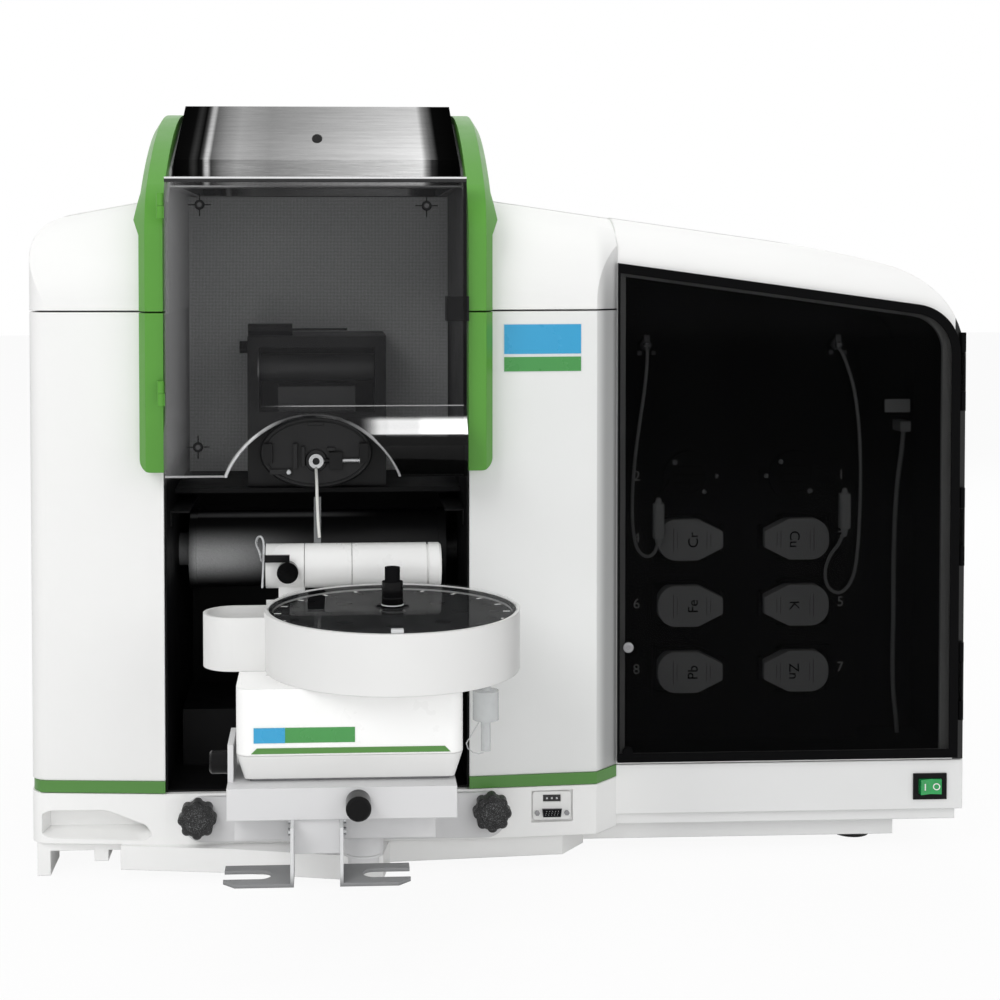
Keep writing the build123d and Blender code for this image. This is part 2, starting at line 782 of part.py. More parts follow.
save(back_panel.part, "back_panel")

# Green trim strips under the front panels
with BuildPart() as trim_strips:
    with BuildSketch(level(FOOT_Z - TRIM_TALL)):
        with BuildLine():
            Polyline(
                (LEFT_X + PLAN_CORNER / 2, deep(LEFT_SET - TRIM_PROUD)),
                (BAY_LEFT, deep(PANEL_SET - TRIM_PROUD)),
                (BAY_RIGHT, deep(PANEL_SET - TRIM_PROUD)),
                (BEVEL_START_X, deep(RIGHT_SET - TRIM_PROUD)),
                (BEVEL_END_X, deep(DOOR_SET - TRIM_PROUD)),
                (BEVEL_END_X, deep(DOOR_SET + TRIM_DEEP)),
                (BEVEL_START_X - TRIM_DEEP / 2, deep(RIGHT_SET + TRIM_DEEP)),
                (BAY_RIGHT, deep(PANEL_SET + TRIM_DEEP)),
                (BAY_LEFT, deep(PANEL_SET + TRIM_DEEP)),
                (LEFT_X + PLAN_CORNER / 2, deep(LEFT_SET + TRIM_DEEP)),
                close=True,
            )
        make_face()
    extrude(amount=TRIM_TALL - SEAT_GAP)
    slab(BAY_LEFT, BAY_RIGHT, -WALL, BODY_DEPTH, BENCH_Z, FOOT_Z, Mode.SUBTRACT)
save(trim_strips.part, "trim_strips")

# Steel chimney: a duct that leans back over the bay, open below and vented on top
with BuildPart() as chimney:
    with BuildSketch(beside(BAY_X - CHIMNEY_HALF)):
        with BuildLine():
            Polyline(
                (deep(CHIMNEY_SET), CHIMNEY_FOOT_Z),
                (deep(CHIMNEY_SET), CHIMNEY_BEND_Z),
                (deep(CHIMNEY_TOP_SET), CHIMNEY_TOP_Z),
                (deep(CHIMNEY_BACK), CHIMNEY_TOP_Z),
                (deep(CHIMNEY_BACK), CHIMNEY_FOOT_Z),
                close=True,
            )
        make_face()
    extrude(amount=2 * CHIMNEY_HALF)
    with BuildSketch(beside(BAY_X - CHIMNEY_HALF + SHEET)):
        with BuildLine():
            Polyline(
                (deep(CHIMNEY_SET + SHEET), CHIMNEY_FOOT_Z),
                (deep(CHIMNEY_SET + SHEET), CHIMNEY_BEND_Z - SHEET),
                (deep(CHIMNEY_TOP_SET + SHEET), CHIMNEY_TOP_Z - SHEET),
                (deep(CHIMNEY_BACK - SHEET), CHIMNEY_TOP_Z - SHEET),
                (deep(CHIMNEY_BACK - SHEET), CHIMNEY_FOOT_Z),
                close=True,
            )
        make_face()
    extrude(amount=2 * CHIMNEY_HALF - 2 * SHEET, mode=Mode.SUBTRACT)
    bar_y(BAY_X, CHIMNEY_SET, CHIMNEY_TOP_SET, CHIMNEY_HOLE_Z, CHIMNEY_HOLE, Mode.SUBTRACT)
    vent_middle = (CHIMNEY_TOP_SET + CHIMNEY_BACK) / 2
    for slot in range(FLUE_SLAT_COUNT):
        across = FLUE_WIDE / FLUE_SLAT_COUNT
        slot_x = BAY_X + (slot - (FLUE_SLAT_COUNT - 1) / 2) * across
        with Locations((slot_x, deep(vent_middle), CHIMNEY_TOP_Z)):
            Box(across - FLUE_SLAT, FLUE_DEEP, 2 * WALL, mode=Mode.SUBTRACT)
save(chimney.part, "chimney")

# Black liner of the bay, with tall sides that fill the gaps beside the chimney
with BuildPart() as bay_liner:
    slab(BAY_LEFT, BAY_RIGHT, PANEL_SET + WALL + SHEET, BAY_DEEP, BAY_FLOOR, SEAM_Z - SEAM_GAP)
    slab(
        BAY_LEFT + SHEET,
        BAY_RIGHT - SHEET,
        -WALL,
        BAY_DEEP - SHEET,
        BAY_FLOOR + SHEET,
        REACH,
        Mode.SUBTRACT,
    )
    with BuildSketch(beside(BAY_X - CHEEK_INNER)):
        with BuildLine():
            Polyline(
                (deep(WALL), SEAM_Z - 2 * SEAM_GAP),
                (deep(WALL), CHEEK_BULGE_END_Z - LINER_TUCK),
                (deep(CHIMNEY_SET), CHIMNEY_BEND_Z - LINER_TUCK),
                (deep(CHIMNEY_TOP_SET), HUMP_TOP[1] - LINER_TUCK),
                (deep(HUMP_BACK - HUMP_DROP), HUMP_TOP[1] - LINER_TUCK),
                (deep(HUMP_BACK - LINER_TUCK), CROWN_Z),
                (deep(HUMP_BACK - LINER_TUCK), SEAM_Z - 2 * SEAM_GAP),
                close=True,
            )
        make_face()
    extrude(amount=2 * CHEEK_INNER)
    inner_left = BAY_X - WINDOW_HALF
    inner_right = BAY_X + WINDOW_HALF
    slab(
        inner_left,
        inner_right,
        -WALL,
        BAY_DEEP - SHEET,
        BAY_FLOOR + SHEET,
        CHIMNEY_FOOT_Z - SHEET,
        Mode.SUBTRACT,
    )
    slab(inner_left, inner_right, BAY_DEEP, HUMP_BACK, BAY_FLOOR, CHIMNEY_FOOT_Z - SHEET, Mode.SUBTRACT)
    slab(inner_left, inner_right, -WALL, HUMP_BACK, CHIMNEY_FOOT_Z, REACH, Mode.SUBTRACT)
    duct = CHIMNEY_HALF - 2 * SHEET
    slab(
        BAY_X - duct,
        BAY_X + duct,
        CHIMNEY_SET + WALL,
        BAY_DEEP - WALL,
        BAY_FLOOR + SHEET,
        REACH,
        Mode.SUBTRACT,
    )
save(bay_liner.part, "bay_liner")


def star_outline(radius):
    """Outline of a lobed grip knob."""
    Circle(radius - STAR_LOBE_RADIUS / 2)
    with PolarLocations(radius - STAR_LOBE_RADIUS, STAR_LOBES):
        Circle(STAR_LOBE_RADIUS)


# White base: a tray with a moulded front
with BuildPart() as base_tray:
    with BuildSketch(level(BASE_MID)):
        with BuildLine():
            Polyline(
                (LEFT_X, deep(LEFT_SET)),
                (BAY_LEFT, deep(PANEL_SET)),
                (BAY_RIGHT, deep(PANEL_SET)),
                (BEVEL_START_X, deep(RIGHT_SET)),
                (BEVEL_END_X, deep(DOOR_SET)),
                (BEVEL_END_X, deep(BODY_DEPTH)),
                (LEFT_X, deep(BODY_DEPTH)),
                close=True,
            )
        plan = make_face()
        fillet(plan.vertices().sort_by_distance((LEFT_X, deep(LEFT_SET)))[0], PLAN_CORNER)
    extrude(amount=BASE_TOP - BASE_MID)
    slab(BEVEL_END_X, RIGHT_X, DOOR_SET, BODY_DEPTH, BASE_RIGHT_LOW, BASE_RIGHT_TOP)
    slab(
        BEVEL_START_X,
        RIGHT_X - BASE_WALL,
        DOOR_SET + BASE_WALL,
        BODY_DEPTH - BASE_WALL,
        BASE_MID,
        BASE_RIGHT_LOW,
    )
    with BuildSketch(level(PROW_LOW)):
        with BuildLine():
            front_points = [(x, deep(depth)) for x, depth in PROW_POINTS]
            Polyline(
                (PROW_LEFT, deep(WALL)),
                *front_points,
                (PROW_RIGHT, deep(UNDER_SET)),
                (PROW_RIGHT, deep(PROW_BACK)),
                (PROW_LEFT, deep(PROW_BACK)),
                close=True,
            )
        make_face()
    extrude(amount=BASE_MID - PROW_LOW)
    slab(PROW_RIGHT, UNDER_RIGHT, UNDER_SET, PROW_BACK, UNDER_LOW, BASE_RIGHT_LOW)
    slab(UNDER_RIGHT, UNDER_BLOCK_RIGHT, UNDER_SET + LUG_LOW, PROW_BACK, SKIRT_LOW, BASE_RIGHT_LOW)
    slab(LEFT_X + BASE_WALL, PROW_LEFT, LEFT_SET + WALL, PROW_BACK, SKIRT_LOW, BASE_MID)
    slab(
        LEFT_X + BASE_WALL,
        LEFT_X + BASE_WALL + LEFT_FOOT_WIDE,
        LEFT_SET + WALL,
        LEFT_SET + LEFT_FOOT_DEEP,
        BENCH_Z,
        SKIRT_LOW,
    )
    slab(LUG_X - LUG_WIDE, LUG_X, LEFT_SET + WALL, LEFT_SET + LEFT_FOOT_DEEP, LUG_LOW, SKIRT_LOW)
    with BuildSketch(facing(-WALL)):
        with BuildLine():
            Polyline(
                (NICHE_LEFT, BASE_MID + SHEET),
                (NICHE_LEFT, NICHE_TOP),
                (NICHE_RIGHT, NICHE_TOP),
                (NICHE_STEP_X, NICHE_STEP_TOP),
                (NICHE_STEP_X, BASE_MID + SHEET),
                close=True,
            )
        niche = make_face()
        fillet(niche.vertices(), NICHE_ROUND / 2)
    extrude(amount=-(NICHE_DEEP + LEFT_SET), taper=NICHE_TAPER, mode=Mode.SUBTRACT)
    slab(
        LEFT_X + BASE_WALL,
        RIGHT_X - BASE_WALL,
        DOOR_SET + NICHE_DEEP,
        BODY_DEPTH - BASE_WALL,
        BASE_FLOOR,
        REACH,
        Mode.SUBTRACT,
    )
    with Locations((PORT_MIDDLE[0], deep(RIGHT_SET - PORT_RECESS), PORT_MIDDLE[1])):
        Box(PORT_WIDE + PORT_RECESS, 3 * PORT_RECESS, PORT_TALL + PORT_RECESS, mode=Mode.SUBTRACT)
    with Locations((SWITCH_MIDDLE[0], deep(DOOR_SET), SWITCH_MIDDLE[1])):
        Box(
            SWITCH_WIDE - 2 * SWITCH_FRAME,
            2 * SWITCH_DEEP,
            SWITCH_TALL - 2 * SWITCH_FRAME,
            mode=Mode.SUBTRACT,
        )
    for knob_x, knob_z in (STAR_LEFT, STAR_RIGHT):
        bar_y(knob_x, -WALL, PANEL_SET + TRIM_DEEP + RUN_GAP, knob_z, STAR_SHAFT + RUN_GAP, Mode.SUBTRACT)
save(base_tray.part, "base_tray")

# Rubber feet
with BuildPart() as rubber_feet:
    for foot_x in (FOOT_SPREAD_LEFT, FOOT_SPREAD_RIGHT):
        for foot_depth in (FOOT_FRONT, FOOT_REAR):
            foot_top = PROW_LOW if foot_x < PROW_RIGHT else UNDER_LOW
            bar_z(foot_x, foot_depth, BENCH_Z, foot_top, FOOT_RADIUS)
save(rubber_feet.part, "rubber_feet")

# Smoked window: a flat pane with a nose along its foot and an arch cut for the probe
with BuildPart() as window_pane:
    with BuildSketch(beside(BAY_X - WINDOW_HALF)):
        with BuildLine() as front_line:
            start = (deep(WINDOW_SET), WINDOW_BEND_Z)
            nose = (deep(WINDOW_NOSE_SET), WINDOW_NOSE_Z)
            middle = ((start[0] + nose[0]) / 2, (start[1] + nose[1]) / 2)
            Line((deep(WINDOW_SET), WINDOW_TOP_Z), start)
            TangentArc(start, middle, tangent=(0, -1))
            TangentArc(nose, middle, tangent=(0, 1))
            TangentArc(nose, (deep(WINDOW_FOOT_SET), WINDOW_FOOT_Z), tangent=(0, -1))
            offset(front_line.wires()[0], amount=WINDOW_THICK, side=Side.LEFT)
        make_face()
    extrude(amount=2 * WINDOW_HALF)
    with BuildSketch(facing(-SAMPLER_REACH)):
        with BuildLine():
            Polyline(
                (BAY_X + ARCH_RIGHT, WINDOW_FOOT_Z + WINDOW_THICK),
                (BAY_X + ARCH_RIGHT, WINDOW_FOOT_Z - WINDOW_NOSE_Z / 2),
                (BAY_X - ARCH_LEFT, WINDOW_FOOT_Z - WINDOW_NOSE_Z / 2),
                (BAY_X - ARCH_LEFT, WINDOW_FOOT_Z + WINDOW_THICK),
            )
            ThreePointArc(
                (BAY_X - ARCH_LEFT, WINDOW_FOOT_Z + WINDOW_THICK),
                (BAY_X, ARCH_TOP_Z),
                (BAY_X + ARCH_RIGHT, WINDOW_FOOT_Z + WINDOW_THICK),
            )
        make_face()
    extrude(amount=-SAMPLER_REACH - HUMP_BACK, mode=Mode.SUBTRACT)
save(window_pane.part, "window_pane")

# Bright rail along the top of the window, its screws and the knuckles on its left edge
with BuildPart() as window_rail:
    for low in HINGE_LOW:
        bar_z(HINGE_X, HINGE_SET, low - SEAT_GAP - HINGE_TALL, low - SEAT_GAP, HINGE_RADIUS)
        slab(
            HINGE_X,
            BAY_X - WINDOW_HALF,
            WINDOW_SET,
            HINGE_SET,
            low - SEAT_GAP - HINGE_TALL,
            low - SEAT_GAP,
        )
    pane_back = WINDOW_SET + WINDOW_THICK
    slab(BAY_X - WINDOW_HALF, BAY_X, WINDOW_SET, pane_back, WINDOW_FOOT_Z, WINDOW_TOP_Z, Mode.SUBTRACT)
    slab(
        BAY_X - WINDOW_HALF,
        BAY_X + WINDOW_HALF,
        WINDOW_SET,
        WINDOW_SET + WINDOW_RAIL_DEEP,
        WINDOW_TOP_Z,
        WINDOW_TOP_Z + WINDOW_RAIL,
    )
    for across, depth, height in WINDOW_SCREWS:
        bar_y(BAY_X + across, depth - WINDOW_SCREW_HEAD, depth, height, WINDOW_SCREW_RADIUS)
save(window_rail.part, "window_rail")

# Star knobs that clamp the mounting plate
for side_name, centre in (("left", STAR_LEFT), ("right", STAR_RIGHT)):
    with BuildPart() as star_knob:
        with BuildSketch(facing(PANEL_SET - PLATE_THICK - SEAT_GAP)):
            with Locations(centre):
                star_outline(STAR_RADIUS)
        extrude(amount=STAR_DEEP)
        chamfer(star_knob.faces().sort_by(Axis.Y)[0].edges(), length=STAR_EDGE)
        bar_y(centre[0], PANEL_SET - PLATE_THICK - SEAT_GAP, PANEL_SET + TRIM_DEEP, centre[1], STAR_SHAFT)
    save(star_knob.part, "star_knob_" + side_name)

# Mounting plate with a tab, the arm it carries and the sleeve for the post
with BuildPart() as mount_bracket:
    with BuildSketch(facing(PANEL_SET - PLATE_THICK)):
        with Locations(((PLATE_LEFT + PLATE_RIGHT) / 2, PLATE_LOW + PLATE_TALL / 2)):
            RectangleRounded(PLATE_RIGHT - PLATE_LEFT, PLATE_TALL, PLATE_ROUND)
        with Locations(((TAB_LEFT + TAB_RIGHT) / 2, (PLATE_LOW + ARM_LOW + ARM_TALL) / 2)):
            Rectangle(TAB_RIGHT - TAB_LEFT, ARM_LOW + ARM_TALL - PLATE_LOW)
        with Locations(STAR_LEFT, STAR_RIGHT):
            Circle(STAR_SHAFT + RUN_GAP, mode=Mode.SUBTRACT)
    extrude(amount=-PLATE_THICK)
    slab(TAB_LEFT, TAB_RIGHT, ARM_FRONT, PANEL_SET - PLATE_THICK, ARM_LOW, ARM_LOW + ARM_TALL)
    bar_z(POST_X, POST_SET, SLEEVE_LOW, DECK_LOW - SEAT_GAP, SLEEVE_RADIUS)
    bar_z(POST_X, POST_SET, BENCH_Z, DECK_TOP, POST_RADIUS + RUN_GAP, Mode.SUBTRACT)
save(mount_bracket.part, "mount_bracket")

# Swinging deck: a folded tray on a post that turns in the sleeve
with BuildPart() as deck:
    slab(DECK_LEFT, DECK_RIGHT, DECK_FRONT, DECK_REAR, DECK_LOW, DECK_TOP)
    slab(
        DECK_LEFT + DECK_WALL,
        DECK_RIGHT - DECK_WALL,
        DECK_FRONT + DECK_WALL,
        DECK_REAR - DECK_WALL,
        DECK_LOW + DECK_WALL,
        DECK_TOP - DECK_WALL,
        Mode.SUBTRACT,
    )
    slab(DECK_LEFT, DECK_LEFT + EAR_THICK, EAR_FRONT, EAR_REAR, DECK_TOP, EAR_TOP)
    bar_z(POST_X, POST_SET, POST_LOW, DECK_LOW, POST_RADIUS)
    bar_z(POST_X, POST_SET, SLEEVE_LOW - RUN_GAP - RING_TALL, SLEEVE_LOW - RUN_GAP, SLEEVE_RADIUS - RUN_GAP)
    slab(BLOCK_LEFT, BLOCK_RIGHT, BLOCK_FRONT, BLOCK_REAR, BLOCK_LOW, DECK_LOW)
    shaft_hole = STAR_SHAFT + RUN_GAP
    bar_y(FRONT_KNOB_X, DECK_FRONT - WALL, DECK_FRONT + DECK_WALL, FRONT_KNOB_Z, shaft_hole, Mode.SUBTRACT)
    bar_x(DECK_LEFT - WALL, DECK_LEFT + EAR_THICK, SIDE_KNOB_SET, SIDE_KNOB_Z, shaft_hole, Mode.SUBTRACT)
save(deck.part, "deck")

# Two folded forks hung on the block under the deck
with BuildPart() as forks:
    for hand, wall_x in ((-1, BLOCK_LEFT), (1, BLOCK_RIGHT)):
        outer_x = wall_x + hand * FORK_SHEET
        tip_x = outer_x + hand * FORK_REACH
        slab(min(wall_x, outer_x), max(wall_x, outer_x), FORK_FRONT, FORK_REAR, FORK_LOW, DECK_LOW)
        slab(min(wall_x, tip_x), max(wall_x, tip_x), FORK_FRONT, FORK_REAR, FORK_LOW, FORK_LOW + FORK_SHEET)
        corners = forks.edges().filter_by(Axis.Z).sort_by_distance((tip_x, deep(FORK_FRONT), FORK_LOW))
        chamfer(corners[0], length=FORK_SLOT / 2)
        slot_middle = (FORK_FRONT + FORK_REAR) / 2
        slot_end = tip_x - hand * FORK_SLOT_LONG
        slot_from = slot_middle - FORK_SLOT / 2
        slot_to = slot_middle + FORK_SLOT / 2
        slab(
            min(tip_x, slot_end),
            max(tip_x, slot_end),
            slot_from,
            slot_to,
            BENCH_Z,
            BLOCK_LOW,
            Mode.SUBTRACT,
        )
        bar_z(slot_end, slot_middle, BENCH_Z, BLOCK_LOW, FORK_SLOT / 2, Mode.SUBTRACT)
save(forks.part, "forks")

with BuildPart() as fork_screws:
    for hand, wall_x in ((-1, BLOCK_LEFT), (1, BLOCK_RIGHT)):
        screw_x = wall_x + hand * FORK_SHEET
        end_x = screw_x + hand * FORK_SCREW_HEAD
        for height in FORK_SCREW_Z:
            bar_x(
                min(screw_x, end_x),
                max(screw_x, end_x),
                (BLOCK_FRONT + BLOCK_REAR) / 2,
                height,
                FORK_SCREW_RADIUS,
            )
save(fork_screws.part, "fork_screws")

# Two adjusting knobs of the deck
with BuildPart() as front_knob:
    bar_y(
        FRONT_KNOB_X, DECK_FRONT - FRONT_KNOB_LONG, DECK_FRONT - SEAT_GAP, FRONT_KNOB_Z, FRONT_KNOB_RADIUS
    )
    chamfer(front_knob.faces().sort_by(Axis.Y)[0].edges(), length=SHEET)
    bar_y(FRONT_KNOB_X, DECK_FRONT - SHEET, DECK_FRONT + DECK_WALL + SHEET, FRONT_KNOB_Z, STAR_SHAFT)
save(front_knob.part, "front_knob")

with BuildPart() as side_knob:
    knob_x = DECK_LEFT - SEAT_GAP
    bar_x(knob_x - SIDE_KNOB_LONG, knob_x, SIDE_KNOB_SET, SIDE_KNOB_Z, SIDE_KNOB_RADIUS)
    chamfer(side_knob.faces().sort_by(Axis.X)[0].edges(), length=SHEET)
    bar_x(knob_x, DECK_LEFT + EAR_THICK, SIDE_KNOB_SET, SIDE_KNOB_Z, STAR_SHAFT)
save(side_knob.part, "side_knob")

# Sampler base box: lower pan with drawn in foot, slide under it
with BuildPart() as sampler_slide:
    slab(
        BOX_LEFT + BOX_ROUND,
        BOX_RIGHT - BOX_ROUND,
        BOX_FRONT + BOX_ROUND,
        BOX_REAR - BOX_ROUND,
        DECK_TOP,
        DECK_TOP + SLIDE_TALL,
    )
save(sampler_slide.part, "sampler_slide")

with BuildPart() as sampler_pan:
    with BuildSketch(level(BOX_SPLIT)):
        with Locations(((BOX_LEFT + BOX_RIGHT) / 2, deep((BOX_FRONT + BOX_REAR) / 2))):
            RectangleRounded(BOX_RIGHT - BOX_LEFT, BOX_REAR - BOX_FRONT, BOX_ROUND)
    extrude(amount=-(BOX_SPLIT - DECK_TOP - SLIDE_TALL), taper=SKIRT_TAPER)
    slab(
        BOX_LEFT + BOX_ROUND,
        BOX_RIGHT - BOX_ROUND,
        BOX_FRONT + BOX_ROUND,
        BOX_REAR - BOX_ROUND,
        DECK_TOP + SLIDE_TALL + BOX_SHELL,
        BOX_SPLIT,
        Mode.SUBTRACT,
    )
save(sampler_pan.part, "sampler_pan")

with BuildPart() as sampler_body:
    with BuildSketch(level(BOX_SPLIT + SEAT_GAP)):
        with Locations(((BOX_LEFT + BOX_RIGHT) / 2, deep((BOX_FRONT + BOX_REAR) / 2))):
            RectangleRounded(BOX_RIGHT - BOX_LEFT, BOX_REAR - BOX_FRONT, BOX_ROUND)
    extrude(amount=TUB_LOW - BOX_SPLIT - SEAT_GAP)
    with BuildSketch(level(BOX_SPLIT)):
        with Locations(((BOX_LEFT + BOX_RIGHT) / 2, deep((BOX_FRONT + BOX_REAR) / 2))):
            inner_wide = BOX_RIGHT - BOX_LEFT - 2 * BOX_SHELL
            inner_long = BOX_REAR - BOX_FRONT - 2 * BOX_SHELL
            RectangleRounded(inner_wide, inner_long, BOX_ROUND - BOX_SHELL)
    extrude(amount=TUB_LOW - BOX_SPLIT - BOX_SHELL, mode=Mode.SUBTRACT)
    bar_z(TUB_X, TUB_SET, BOX_SPLIT, TUB_RIM, HUB_RADIUS / 2 + RUN_GAP, Mode.SUBTRACT)
save(sampler_body.part, "sampler_body")

with BuildPart() as sampler_stripe:
    with BuildSketch(facing(BOX_FRONT - STRIPE_PROUD)):
        with Locations(((STRIPE_LEFT + STRIPE_RIGHT) / 2, BOX_SPLIT + SHEET + STRIPE_TALL / 2)):
            Trapezoid(STRIPE_RIGHT - STRIPE_LEFT, STRIPE_TALL, STRIPE_SLOPE)
    extrude(amount=-STRIPE_PROUD)
save(sampler_stripe.part, "sampler_stripe")


def tub_outline(inset):
    """Round tub with the rinse well on its left."""
    with Locations((TUB_X, deep(TUB_SET))):
        Circle(TUB_RADIUS - inset)
    with Locations((WELL_X, deep(WELL_SET))):
        Circle(WELL_RADIUS - inset)
    with Locations(((WELL_X + TUB_X) / 2, deep(WELL_SET))):
        Rectangle(TUB_X - WELL_X, 2 * (WELL_RADIUS - inset))


# White tub with its rinse well
with BuildPart() as tub:
    with BuildSketch(level(TUB_LOW)):
        tub_outline(0)
    extrude(amount=TUB_RIM - TUB_LOW)
    with BuildSketch(level(TUB_LOW + TUB_FLOOR)):
        with Locations((TUB_X, deep(TUB_SET))):
            Circle(TUB_RADIUS - TUB_WALL)
    extrude(amount=TUB_RIM - TUB_LOW, mode=Mode.SUBTRACT)
    with BuildSketch(level(TUB_LOW + TUB_FLOOR)):
        tub_outline(TUB_WALL)
        with Locations((TUB_X, deep(TUB_SET))):
            Circle(TUB_RADIUS, mode=Mode.SUBTRACT)
    extrude(amount=TUB_RIM - TUB_LOW, mode=Mode.SUBTRACT)
    slab(
        WELL_X - TUB_RADIUS,
        TUB_X - TUB_RADIUS,
        TUB_SET - TUB_RADIUS,
        BOX_REAR,
        WELL_RIM,
        TUB_RIM,
        Mode.SUBTRACT,
    )
    bar_z(TUB_X, TUB_SET, BOX_SPLIT, TUB_RIM, HUB_RADIUS / 2 + RUN_GAP, Mode.SUBTRACT)
save(tub.part, "tub")

# Sample tray with two rings of cup holes, hub and knob
with BuildPart() as sample_tray:
    bar_z(TUB_X, TUB_SET, TRAY_TOP - TRAY_TALL, TRAY_TOP, TRAY_RADIUS)
    bar_z(TUB_X, TUB_SET, TRAY_TOP, HUB_TOP, HUB_RADIUS)
    bar_z(TUB_X, TUB_SET, HUB_TOP, HUB_CAP_TOP, HUB_CAP_RADIUS)
    bar_z(TUB_X, TUB_SET, BOX_SPLIT + BOX_SHELL, TRAY_TOP - TRAY_TALL, HUB_RADIUS / 2)
    with BuildSketch(level(TRAY_TOP)):
        with Locations((TUB_X, deep(TUB_SET))):
            with PolarLocations(CUP_RING, CUP_COUNT):
                Circle(CUP_RADIUS)
            with PolarLocations(INNER_CUP_RING, INNER_CUP_COUNT):
                Circle(INNER_CUP_RADIUS)
    extrude(amount=-CUP_DEEP, mode=Mode.SUBTRACT)
save(sample_tray.part, "sample_tray")

with BuildPart() as tray_lid:
    bar_z(TUB_X, TUB_SET, TUB_RIM, TUB_RIM + LID_THICK, LID_RADIUS)
    bar_z(TUB_X, TUB_SET, BENCH_Z, HUB_TOP, LID_HOLE, Mode.SUBTRACT)
    slab(
        PROBE_X - LID_SLOT_WIDE / 2,
        PROBE_X + LID_SLOT_WIDE / 2,
        TUB_SET - LID_SLOT_WIDE,
        TUB_SET + TUB_RADIUS,
        BENCH_Z,
        HUB_TOP,
        Mode.SUBTRACT,
    )
save(tray_lid.part, "tray_lid")

# Turret: a round housing held behind the tub, with a swinging drum in its middle
with BuildPart() as turret_body:
    bar_x(TURRET_LEFT, SWING_LEFT - RUN_GAP, TURRET_SET, TURRET_Z, TURRET_RADIUS)
    bar_x(SWING_RIGHT + RUN_GAP, CAP_LEFT, TURRET_SET, TURRET_Z, TURRET_RADIUS)
    bar_x(SWING_LEFT - SHEET, SWING_RIGHT + SHEET, TURRET_SET, TURRET_Z, TURRET_CORE)
    for post_x in (SWING_LEFT - STAND_WIDE, SWING_RIGHT + STAND_WIDE / 2):
        slab(
            post_x,
            post_x + STAND_WIDE,
            STAND_FRONT,
            STAND_FRONT + STAND_DEEP,
            BOX_SPLIT + STAND_LIFT,
            TURRET_Z,
        )
    slab(
        SWING_LEFT - STAND_WIDE,
        SWING_RIGHT + STAND_WIDE * 3 / 2,
        BOX_REAR,
        STAND_FRONT + STAND_DEEP,
        BOX_SPLIT + STAND_LIFT,
        TUB_LOW - STAND_LIFT,
    )
    bar_x(CAP_LEFT, CAP_LEFT + SHEET, TURRET_SET, TURRET_Z, TURRET_RADIUS - SHEET)
    bar_x(CAP_LEFT + SHEET, TURRET_RIGHT, TURRET_SET, TURRET_Z, TURRET_RADIUS)
    chamfer(turret_body.faces().sort_by(Axis.X)[-1].edges(), length=SHEET)
save(turret_body.part, "turret_body")


def along_probe(reach, lift):
    """Depth and height of a point along the leaning probe arm."""
    lean = radians(PROBE_LEAN)
    depth = TURRET_SET + reach * sin(lean) - lift * cos(lean)
    height = TURRET_Z + reach * cos(lean) + lift * sin(lean)
    return depth, height


with BuildPart() as swing_drum:
    bar_x(SWING_LEFT, SWING_RIGHT, TURRET_SET, TURRET_Z, TURRET_RADIUS)
    bar_x(
        SWING_LEFT - SHEET,
        SWING_RIGHT + SHEET,
        TURRET_SET,
        TURRET_Z,
        TURRET_CORE + RUN_GAP,
        Mode.SUBTRACT,
    )
save(swing_drum.part, "swing_drum")

with BuildPart() as probe_arm:
    with BuildSketch(beside(PROBE_X - PROBE_WIDE / 2)):
        corners = (
            along_probe(TURRET_RADIUS - SHEET, PROBE_DEEP / 2),
            along_probe(PROBE_REACH, PROBE_DEEP / 4),
            along_probe(PROBE_REACH, -PROBE_DEEP / 4),
            along_probe(TURRET_RADIUS - SHEET, -PROBE_DEEP / 2),
        )
        Polygon(*[(deep(depth), height) for depth, height in corners], align=None)
    extrude(amount=PROBE_WIDE)
    bar_x(SWING_LEFT - SHEET, SWING_RIGHT + SHEET, TURRET_SET, TURRET_Z, TURRET_RADIUS, Mode.SUBTRACT)
save(probe_arm.part, "probe_arm")

# Clamp and wire loop at the left end of the turret
with BuildPart() as tube_clamp:
    bar_y(CLAMP_X, TURRET_SET - TURRET_RADIUS - CLAMP_LONG, TURRET_SET, CLAMP_Z, CLAMP_RADIUS)
    clamp_front = TURRET_SET - TURRET_RADIUS - CLAMP_LONG
    slab(
        TURRET_LEFT - SHEET,
        CLAMP_X,
        clamp_front,
        clamp_front + CLAMP_LONG / 2,
        CLAMP_Z + CLAMP_RADIUS,
        CLAMP_Z + CLAMP_RADIUS + PROBE_WIDE,
    )
    slab(
        CLAMP_X - SHEET,
        CLAMP_X + SHEET,
        clamp_front,
        clamp_front + CLAMP_LONG / 2,
        CLAMP_Z,
        CLAMP_Z + CLAMP_RADIUS + PROBE_WIDE,
    )
    add(turret_body.part, mode=Mode.SUBTRACT)
save(tube_clamp.part, "tube_clamp")


def tube(route, radius, name):
    """Tube of straight runs joined by arcs as large as the runs allow."""
    points = [Vector(x, deep(depth), height) for x, depth, height in route]
    radii = []
    for before, here, after in zip(points, points[1:], points[2:]):
        run = min((here - before).length, (after - here).length)
        half_turn = radians((here - before).get_angle(after - here)) / 2
        radii.append(ARC_SHARE * run / tan(half_turn))
    print(name, "radii", [round(value, 1) for value in radii])
    with BuildPart() as round_tube:
        with BuildLine() as path:
            FilletPolyline(*points, radius=radii)
        run_line = path.wires()[0]
        with BuildSketch(Plane(origin=run_line @ 0, z_dir=run_line % 0)):
            Circle(radius)
        sweep(path=run_line)
    ideal = pi * radius**2 * run_line.length
    print(name, "volume", round(round_tube.part.volume), "section by length", round(ideal))
    print(name, "length", round(run_line.length, 1))
    save(round_tube.part, name)


tube(WIRE_ROUTE, WIRE_RADIUS, "wire_loop")
tube(PROBE_ROUTE, TIP_RADIUS, "probe_tube")

